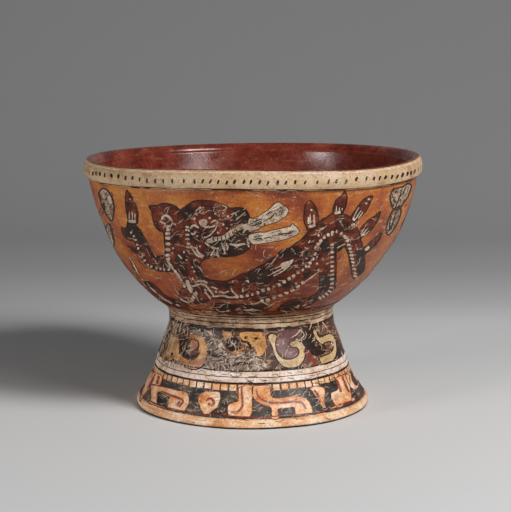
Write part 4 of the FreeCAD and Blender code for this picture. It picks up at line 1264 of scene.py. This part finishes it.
def paint_cream_and_teeth():
    cream = Brushwork("serpent_cream", cream_paint, "cream_slip", 0.15, PANELS)
    for section in (cream_head, cream_neck_and_arm, cream_tongue, cream_body, cream_knives):
        section(cream)
    cream.finish()
    notches = Brushwork("serpent_notches", line_paint, "black_slip", 0.19, PANELS)
    notches.strokes(1.3, *JAW_NOTCHES)
    notches.strokes(1.2, *TONGUE_NOTCHES)
    notches.dots(NOTCH_DOTS, 1.5)
    for count, box, lean in TONGUE_SCUFFS:
        notches.scuffs(count, box, lean, 9, (3, 7))
    notches.strokes(1.0, *EYE_NOTCHES)
    notches.finish()


SERPENT_SCUFFS = (  # count, box of pixels, lean
    (22, (160, 206, 206, 236), 40), (24, (206, 204, 248, 236), 25), (22, (204, 238, 250, 256), 15),
    (14, (176, 236, 204, 262), -30), (26, (176, 262, 206, 302), -40), (28, (206, 270, 300, 298), 20),
    (16, (255, 246, 302, 270), 35), (24, (300, 222, 358, 262), 40), (18, (318, 244, 364, 298), 60),
    (34, (186, 299, 312, 313), 5), (40, (130, 250, 178, 298), -45), (10, (236, 188, 300, 200), 0),
    (8, (310, 196, 400, 250), 20), (12, (250, 206, 292, 242), 15))


def paint_scuffs():
    """Pale scratches over the serpent, where the top of the slip is rubbed away."""
    work = Brushwork("serpent_scuffs", cream_paint, "cream_slip", 0.21, PANELS)
    for count, box, lean in SERPENT_SCUFFS:
        work.scuffs(count, box, lean)
    work.finish()


SEAL_SPOT = pixels(103, 202, 104.7, 204, 105.5, 209, 104.6, 211.5, 103, 208)
SEAL_DOTS = pixels(110.5, 207, 107.5, 203.5, 106.5, 199)
BELLY_SEAL_LINE = pixels(107, 234, 109.5, 241, 112, 246)
RIGHT_SEAL_LINES = (
    pixels(402, 190, 399, 198, 396, 206, 393.5, 209), pixels(406, 187, 402.5, 194),
    pixels(391.5, 215.5, 389.5, 224, 389.5, 231), pixels(396, 212, 393.5, 220, 391.5, 229),
    pixels(393, 199.5, 396, 203))
RIGHT_SEAL_DOTS = pixels(395, 192, 393.5, 205.5, 390.5, 228.5)


def paint_seals():
    """The pairs of pale seals that part one serpent from the next."""
    for group, places, copies in (("left", (SHOULDER_SEAL, BELLY_SEAL), SEAL_COPY),
                                  ("right", (RIGHT_SEAL, RIGHT_SEAL_LOW), ONCE)):
        ground = Brushwork(f"{group}_seal_cream", seal_paint, "cream_slip", 0.05, copies)
        edges = Brushwork(f"{group}_seal_lines", line_paint, "black_slip", 0.09, copies)
        ground.patches(*places)
        for outline in places:
            edges.ring_of(outline, 1.5)
        if group == "left":
            edges.patch(SEAL_SPOT)
            edges.dots(SEAL_DOTS, 1.5)
            edges.strokes(1.6, BELLY_SEAL_LINE)
        else:
            edges.strokes(1.3, *RIGHT_SEAL_LINES)
            edges.dots(RIGHT_SEAL_DOTS, 1.9)
        for count, box, lean in SEAL_SCUFFS[group]:
            edges.scuffs(count, box, lean, 30, (2, 6), 0.6)
        ground.finish()
        edges.finish()


# The neck: fine lines over the pale lute

NECK_LINES = ((313.2, 0.5), (317.2, 1.3), (319.9, 0.5), (323.6, 0.6))
FRIEZE_LINE = 329.8


def paint_neck():
    lines = Brushwork("neck_lines", line_paint, "black_slip", 0.06)
    for level, width in NECK_LINES:
        lines.ring(level, width, 0.5)
    lines.ring(FRIEZE_LINE, 2.0, 0.5)
    lines.finish()


# The stand: a frieze of scrolls, then a pale band, then a frieze of frets

HALF_TURN = ((0, 1, 0), (-90, 1, 180))

SCROLL_RIBBON = pixels(
    267.5, 337, 271.5, 346, 275, 356, 280.5, 364.5, 288.5, 368, 298, 366.5, 304, 360, 305.4, 351.5,
    303, 344, 297, 340.7, 290.7, 341.7, 289.3, 345, 292.8, 347.6, 296.4, 347.6, 299, 351,
    297.8, 355.5, 291.4, 359, 284.5, 359, 279.5, 355.5, 276.5, 350, 275.5, 343, 277, 336,
    272, 333.5)
SCROLL_PLUM = pixels(
    276.5, 337, 279, 331.5, 287, 328, 297, 328, 300.5, 331.5, 294.5, 336.5, 288.5, 340.7, 287, 346,
    291, 350.5, 297, 350, 297.5, 354.5, 290, 358, 281.5, 355, 277, 348)
SCROLL_HOOK = pixels(
    314.5, 327.5, 317, 333, 320, 337.5, 324, 335.5, 330, 333.5, 334.5, 337.5, 336.5, 345, 336, 355,
    331.5, 362, 322, 364, 320, 357.5, 327, 354.5, 332, 350.5, 333, 344.5, 330.5, 341.5,
    325.5, 342.5, 321, 344.5, 316.5, 340, 313, 333)
CRESCENT = pixels(
    187, 335.5, 182.5, 339, 179.5, 344, 180, 350, 183.5, 355.5, 190, 358.5, 197, 357, 200, 352.5,
    195, 355, 189.5, 354.5, 185.5, 351, 184.3, 346, 185.5, 341.5, 189, 339.5, 190, 337)
SCROLL_ORANGES = (
    pixels(170, 338, 178, 338, 179, 350, 176, 358, 162, 361, 166, 349),
    pixels(187, 337, 195, 334, 203, 338, 207, 347, 206, 357, 200, 364.5, 191, 367.5, 181, 363.5,
           174, 356.5, 178, 353.5, 184, 358, 191, 360.5, 197, 358, 199, 350, 196, 343, 190, 341),
    pixels(223, 332, 231, 332.5, 230.5, 338.5, 225, 340),
    pixels(240, 333, 252, 332, 263, 333, 266, 342, 266, 350, 258, 357, 255, 348, 247, 346,
           242, 340),
    pixels(233, 350, 238, 346, 242, 350, 238, 355))
SCROLL_PINKS = (
    pixels(181, 360.5, 188, 364, 197, 363.5, 203.5, 357, 205.5, 361, 200, 367, 192, 368.3,
           184, 366),
    pixels(190.5, 342, 194, 341, 197.5, 344, 197, 348, 193, 349.5, 190, 346))
SCROLL_MAUVES = (
    pixels(186.5, 351, 192, 349.6, 197, 349, 197.5, 354, 191, 355.5, 187.5, 354),
    pixels(299, 352, 304, 350, 309, 358, 307, 364, 301, 362),
    pixels(301, 334, 307, 336, 308, 343, 303, 343))
# Grey patches on the scroll frieze: worn slip, and partly a painted sheen where light glances off the
# stand
SCROLL_GREYS_AND_SHEEN = (
    pixels(207, 345, 213, 338, 222, 342, 226, 350, 234, 356, 245, 352, 254, 352, 262, 360, 268, 366,
           262, 370.5, 246, 371.5, 228, 371, 213, 369.5, 204, 367.5, 207, 358),
    pixels(192, 329, 202, 330, 212, 332.5, 219, 337, 212, 336.5, 203, 336, 196, 337.5, 190, 334))
CRESCENT_GLINT = pixels(186, 351.5, 191, 350, 196, 349)
SCROLL_RED = pixels(303, 351, 308, 350, 312, 355, 317, 364.5, 311, 366.5, 308, 358)
SCROLL_BROAD_LINES = (
    pixels(183, 323.5, 187, 328.5, 184.5, 334), pixels(190, 329, 199, 328.5),
    pixels(201, 330, 204, 332), pixels(241, 341, 248, 343, 252, 349),
    pixels(207, 351, 214, 356, 222, 355), pixels(233, 366, 241, 363, 250, 364.5))
SCROLL_FINE_LINES = (
    pixels(170.5, 326, 166, 341, 160, 357), pixels(173.5, 328, 170, 340, 164, 357),
    pixels(189, 341, 193, 339, 198, 341.5, 198.5, 347, 194, 350),
    pixels(184, 366.8, 192, 369.3, 199, 368.8, 206, 363.5),
    pixels(215, 371, 215, 362, 222, 361, 229, 363, 229, 371), pixels(255, 356, 262, 359))
SCROLL_DARKS = (
    pixels(304, 326, 312, 328, 313, 340, 316, 346, 324, 344.5, 326.5, 349, 324, 353.5, 316, 356,
           308, 350, 303, 344, 302, 334),
    pixels(227, 339, 236, 338, 241, 343, 240, 349, 231, 351, 226, 346))
SCROLL_DOTS = pixels(
    176.5, 327, 178, 332.5, 165.5, 358.5, 172, 354, 173, 361, 246, 337.5, 256, 338.5, 250, 345,
    218, 349)
SCROLL_SCRATCHES = (
    pixels(291, 338, 297, 334, 300, 330, 304, 335, 301, 339), pixels(295, 341, 301, 340),
    pixels(301, 343, 305, 348), pixels(316, 320, 318, 325, 316, 331),
    pixels(322, 322, 326, 327, 330, 333), pixels(331, 343, 335, 347), pixels(341, 351, 343, 356),
    pixels(221, 364, 224, 366.5, 226, 370.5), pixels(218, 349, 226, 352),
    pixels(236, 357, 244, 353), pixels(246, 362, 254, 359), pixels(210, 343, 214, 341.5),
    pixels(262, 336, 268, 333), pixels(174, 327, 169, 345, 163, 360),
    pixels(178.5, 324, 174.5, 338, 171, 352), pixels(167, 330, 163, 345, 157, 360),
    pixels(182, 322, 179, 332), pixels(308, 318, 311, 324, 309, 330), pixels(231, 342, 237, 347),
    pixels(212, 360, 220, 358), pixels(226, 333, 233, 337), pixels(252, 366, 262, 364))


def paint_scrolls():
    """The filled shapes, each paint over the last, then the dark lines and the pale scratches."""
    for name, paint, slot, lift, outlines in (
            ("scroll_orange", orange_paint, "ochre_slip", 0.05, SCROLL_ORANGES),
            ("scroll_pink", pink_paint, "red_slip", 0.09, SCROLL_PINKS),
            ("scroll_mauve", mauve_paint, "brown_slip", 0.05, (SCROLL_PLUM, *SCROLL_MAUVES)),
            ("scroll_worn_and_sheen", grey_worn_and_sheen_paint, "brown_slip", 0.05, SCROLL_GREYS_AND_SHEEN)):
        work = Brushwork(name, paint, slot, lift, HALF_TURN)
        work.patches(*outlines)
        work.finish()
    yellow = Brushwork("scroll_yellow", yellow_paint, "ochre_slip", 0.09, HALF_TURN)
    yellow.patches(SCROLL_RIBBON, SCROLL_HOOK)
    yellow.strokes(1.3, CRESCENT_GLINT)
    yellow.finish()
    red = Brushwork("scroll_red", red_paint, "red_slip", 0.09, HALF_TURN)
    red.patch(SCROLL_RED)
    red.finish()
    dark = Brushwork("scroll_dark", line_paint, "black_slip", 0.12, HALF_TURN)
    for outline in (SCROLL_RIBBON, SCROLL_HOOK):
        dark.ring_of(outline, 1.2)
    dark.patch(CRESCENT)
    dark.strokes(2.6, *SCROLL_BROAD_LINES)
    dark.strokes(1.3, *SCROLL_FINE_LINES)
    dark.patches(*SCROLL_DARKS)
    dark.dots(SCROLL_DOTS, 3.0)
    dark.finish()
    pale = Brushwork("scroll_pale", cream_paint, "cream_slip", 0.15, HALF_TURN)
    pale.strokes(1.1, *SCROLL_SCRATCHES)
    pale.finish()


WAIST_LINES = ((371.3, 0.7), (377.6, 0.4), (383.6, 0.9))
FOOT_CONTACT_SHADOW_ROW = 428.7
BLOCK_TOP, BLOCK_FOOT, BLOCKS = 385.0, 390.6, 74


def paint_waist():
    """The band's lines, a painted contact shadow round the foot's bottom edge, and the row of blocks
    that hangs under it.
    """
    lines = Brushwork("waist_lines", line_paint, "black_slip", 0.1)
    for level, width in WAIST_LINES:
        lines.ring(level, width, 0.3)
    # A painted contact shadow: a dark line round the foot's bottom edge, where it sits on the floor
    lines.ring(FOOT_CONTACT_SHADOW_ROW, 0.8, 0.1)
    lines.finish()
    blocks = Brushwork("waist_blocks", rose_paint, "ochre_slip", 0.05)
    top = spot((IMAGE_WIDTH / 2, BLOCK_TOP))[1]
    foot = spot((IMAGE_WIDTH / 2, BLOCK_FOOT))[1]
    pitch = math.tau / BLOCKS
    for k in range(BLOCKS):
        start, end = k * pitch - math.pi, (k + hand.uniform(0.74, 0.88)) * pitch - math.pi
        low = foot + hand.uniform(-0.3, 0.3) * MM
        blocks.flat([(start, top), (end, top), (end, (top + low) / 2), (end, low), (start, low),
                     (start, (top + low) / 2)])
    blocks.finish()


STAND_SCUFFS = (  # count, box of pixels, lean
    (36, (172, 309, 332, 330), 0), (60, (168, 330, 262, 369), 40), (60, (206, 338, 262, 370), 30),
    (56, (262, 328, 336, 368), 55), (64, (160, 316, 194, 368), 68), (80, (150, 318, 178, 368), 74),
    (60, (148, 387, 250, 414), 25), (66, (250, 387, 354, 412), 30), (12, (160, 418, 350, 424), 0),
    (40, (168, 365, 340, 374), 60))
STAND_FLECKS = (
    (60, (172, 309, 332, 329), 0), (48, (164, 371, 344, 384), 0), (26, (206, 338, 262, 369), 30),
    (8, (160, 418, 350, 424), 0))


def paint_stand_wear():
    """Pale scratches over the stand's friezes, and dark flecks in its pale bands."""
    for name, paint, slot, lift, groups in (
            ("stand_scuffs", cream_paint, "cream_slip", 0.21, STAND_SCUFFS),
            ("stand_flecks", line_paint, "black_slip", 0.18, STAND_FLECKS)):
        work = Brushwork(name, paint, slot, lift, HALF_TURN)
        for count, box, lean in groups:
            work.scuffs(count, box, lean, 30 if lean else 8)
        work.finish()


FRET_SHAPES = {
    "left_bracket": pixels(151.5, 385, 158, 386, 168, 388, 178, 390.5, 186, 392, 189, 397, 189, 403,
                           186.5, 408, 183.5, 412, 176, 411, 168, 409, 157, 406, 149, 403, 151, 399),
    "heart": pixels(198.5, 397, 201, 393.5, 205, 391.5, 210, 391.5, 216, 391.5, 220, 393, 220.5, 398,
                    219, 404, 216, 408.5, 212, 411.5, 206, 415.5, 202, 411, 199.5, 405, 198, 401),
    "hook": pixels(238.5, 388, 238, 400, 233, 402.5, 228.5, 405, 227.5, 410, 229.5, 416, 240, 417,
                   251, 416, 252, 400, 251.5, 386),
    "bar": pixels(252.5, 386, 262, 385.5, 270, 386, 270.5, 393, 272.5, 397.5, 280, 398, 290, 396.5,
                  300, 396.5, 307, 399.5, 310.5, 404, 312.5, 412.5, 304, 414.5, 296, 415.5, 294, 407.5,
                  286, 408, 278, 409.5, 279, 418, 271.5, 418.5, 271, 408, 262, 404.5, 255, 400,
                  252.5, 394),
    "left_strip": pixels(150, 371, 156, 373, 162, 376, 161, 384.5, 156, 385.5, 151.5, 385, 147, 391,
                         143, 397, 140, 402, 141, 395, 145, 385),
    "drop": pixels(310, 388, 316, 386, 324, 388, 325, 395, 324, 402, 326, 408, 322, 407, 318, 400,
                   312, 391),
    "far_hook": pixels(336, 378, 348, 374, 350, 388, 351, 402, 338, 405, 337, 407, 333, 402, 331, 397,
                       331, 393, 335, 391, 338, 388),
    "loop": pixels(345, 373, 347, 380, 350, 386, 354, 389.5, 358, 387, 359, 381, 357, 385, 355, 385,
                   352, 380, 350, 373),
}
FRET_BLACKS = (
    pixels(158.5, 391.5, 169.5, 395.5, 168.8, 401, 167.5, 407, 162, 405.5, 156.8, 403, 157.3, 397),
    pixels(253, 402, 258, 404, 268, 409, 271, 412, 271, 418, 251, 418, 252.5, 410))
FRET_REDS = (
    pixels(155, 374, 152, 381, 148, 389), pixels(159, 376, 157, 384),
    pixels(161, 391, 170, 395, 180, 398.5, 183, 402, 179, 407), pixels(180, 401, 177, 406),
    pixels(241.5, 386, 242, 395, 242.5, 405, 240.5, 409, 236, 412.5, 231.5, 411.5),
    pixels(206, 401, 209, 398.5, 213, 400, 213.5, 404, 210, 405.5, 208.5, 403),
    pixels(256, 389, 258, 396, 264, 400.5, 274, 403, 290, 402, 301, 402.5, 306, 409),
    pixels(336, 379, 339, 386, 341, 392), pixels(342, 376, 345, 384, 349, 392),
    pixels(339, 405, 345, 403.5, 351, 401), pixels(314, 390, 318, 396, 320, 403))
FOOT_LINE = 416.9
ROLL_STREAKS = (
    pixels(136.5, 395, 144, 403, 157, 410), pixels(140, 403.5, 150, 410, 164, 415),
    pixels(160, 412.5, 173, 416, 186, 418.5), pixels(205, 419.3, 216, 420.6, 228, 421.6),
    pixels(226, 419.5, 238, 421, 252, 422), pixels(246, 424, 258, 424.4, 272, 424),
    pixels(266, 421, 279, 421.6, 292, 420.4), pixels(296, 418.6, 312, 416.4, 326, 413.6),
    pixels(330, 409.5, 343, 404.6, 354, 399))


def paint_frets():
    orange = Brushwork("fret_orange", rose_paint, "ochre_slip", 0.05, HALF_TURN)
    black = Brushwork("fret_black", black_coat, "black_slip", 0.09, HALF_TURN)
    pinks = Brushwork("fret_pink_lines", blush_paint, "red_slip", 0.10, HALF_TURN)
    reds = Brushwork("fret_red_lines", red_paint, "red_slip", 0.12, HALF_TURN)
    orange.patches(*FRET_SHAPES.values())
    for outline in FRET_SHAPES.values():
        reds.ring_of(outline, 0.7)
    black.patches(*FRET_BLACKS)
    pinks.strokes(3.2, *FRET_REDS)
    reds.strokes(1.1, *FRET_REDS)
    reds.ring(FOOT_LINE, 0.8, 0.5)
    orange.strokes(3.0, *ROLL_STREAKS)
    for work in (orange, black, pinks, reds):
        work.finish()


# Stage

# The paper's tones, from in front of the pot to far behind it, in metres: painted light falloff, pale
# where the lamps reach and darker grey behind
FLOOR_FALLOFF_TONES = ((-0.5, "#DADADA"), (0.05, "#E2E2E2"), (0.25, "#DCDCDC"), (0.34, "#CACACA"),
               (0.50, "#B9B9B9"), (0.70, "#B5B5B5"), (1.2, "#A7A7A7"), (1.6, "#999999"))
FLOOR_NEAR, FLOOR_FAR, FLOOR_HALF = -2.0, 1.6, 2.5
SWEEP, SWEEP_STEPS, BACKDROP_TOP = 0.9, 24, 2.2


def make_stage():
    """A sheet of seamless paper: a plain floor that curves up behind into the backdrop."""
    bend = FLOOR_FAR - SWEEP
    section = [(FLOOR_NEAR, 0.0), (-0.6, 0.0), (0.0, 0.0), (bend, 0.0)]
    for step in range(1, SWEEP_STEPS + 1):
        turn = math.pi / 2 * step / SWEEP_STEPS
        section.append((bend + SWEEP * math.sin(turn), SWEEP - SWEEP * math.cos(turn)))
    section.append((FLOOR_FAR, BACKDROP_TOP))
    points = [(x, y, z) for y, z in section for x in (-FLOOR_HALF, FLOOR_HALF)]
    faces = [(2 * i, 2 * i + 1, 2 * i + 3, 2 * i + 2) for i in range(len(section) - 1)]
    mesh = bpy.data.meshes.new("paper_sweep")
    mesh.from_pydata(points, [], faces)
    mesh.shade_smooth()
    mesh.materials.append(seamless_paper())
    paper = bpy.data.objects.new("paper_sweep", mesh)
    bpy.context.scene.collection.objects.link(paper)


def seamless_paper():
    """Matt seamless paper with a fine tooth, its tone painted pale in front and grey behind for the
    light falling off.
    """
    made = bpy.data.materials.new("matt_seamless_paper")
    made.use_nodes = True
    tree = made.node_tree
    shader = tree.nodes["Principled BSDF"]
    place = add(tree, "ShaderNodeTexCoord").outputs["Object"]
    parts = add(tree, "ShaderNodeSeparateXYZ", {0: place})
    near, far = FLOOR_FALLOFF_TONES[0][0], FLOOR_FALLOFF_TONES[-1][0]
    depth = add(tree, "ShaderNodeMapRange", {"Value": parts.outputs["Y"], "From Min": near,
                                             "From Max": far})
    falloff_tones = add(tree, "ShaderNodeValToRGB", {0: depth.outputs[0]})
    shade(falloff_tones.color_ramp, [((y - near) / (far - near), c) for y, c in FLOOR_FALLOFF_TONES])
    tree.links.new(falloff_tones.outputs[0], shader.inputs["Base Color"])
    tooth = add(tree, "ShaderNodeTexNoise", {"Vector": place, "Scale": 1 / (0.8 * MM), "Detail": 2.0})
    bump = add(tree, "ShaderNodeBump", {"Height": tooth.outputs[0], "Distance": 0.03 * MM,
                                        "Strength": 0.3})
    tree.links.new(bump.outputs[0], shader.inputs["Normal"])
    shader.inputs["Roughness"].default_value = 0.9
    shader.inputs["Specular IOR Level"].default_value = 0.2
    return made


def aim(thing, target):
    """Turn a light so that it shines at a target."""
    thing.rotation_euler = (Vector(target) - thing.location).to_track_quat("-Z", "Y").to_euler()


def make_lights():
    """A soft key from the right, which throws the shadow, a low window under it, and a fill."""
    for name, place, target, size, watts in (
            ("key_softbox", (1.05, -0.90, 1.08), (0, 0, 0.07), 0.5, 26.0),
            ("low_window", (1.02, -1.02, 0.46), (0, 0, 0.12), 0.22, 3.0),
            ("fill_card", (-1.42, -0.96, 0.28), (0, 0, 0.10), 0.5, 13.8)):
        lamp = bpy.data.lights.new(name, "AREA")
        lamp.shape, lamp.size, lamp.energy = "SQUARE", size, watts
        light = bpy.data.objects.new(name, lamp)
        light.location = place
        bpy.context.scene.collection.objects.link(light)
        aim(light, target)
    world = bpy.data.worlds.new("studio")
    world.use_nodes = True
    background = world.node_tree.nodes["Background"]
    background.inputs["Color"].default_value = linear("#8C8C8C")
    background.inputs["Strength"].default_value = 0.11
    bpy.context.scene.world = world


def make_camera():
    lens = bpy.data.cameras.new("photograph")
    lens.lens, lens.sensor_width, lens.sensor_fit = LENS, SENSOR, "AUTO"
    lens.clip_start = 0.01
    camera = bpy.data.objects.new("photograph", lens)
    camera.location = LENS_PLACE
    camera.rotation_euler = (math.pi / 2 - LOOKS_DOWN, 0, 0)
    bpy.context.scene.collection.objects.link(camera)
    bpy.context.scene.camera = camera


make_camera()
make_clay()
make_coats()
for paint in (paint_rim, paint_stains, paint_serpent, paint_lines, paint_cream_and_teeth,
              paint_scuffs, paint_seals, paint_neck, paint_scrolls, paint_waist, paint_frets,
              paint_stand_wear):
    paint()
make_stage()
make_lights()
bpy.context.scene.view_settings.view_transform = "Standard"
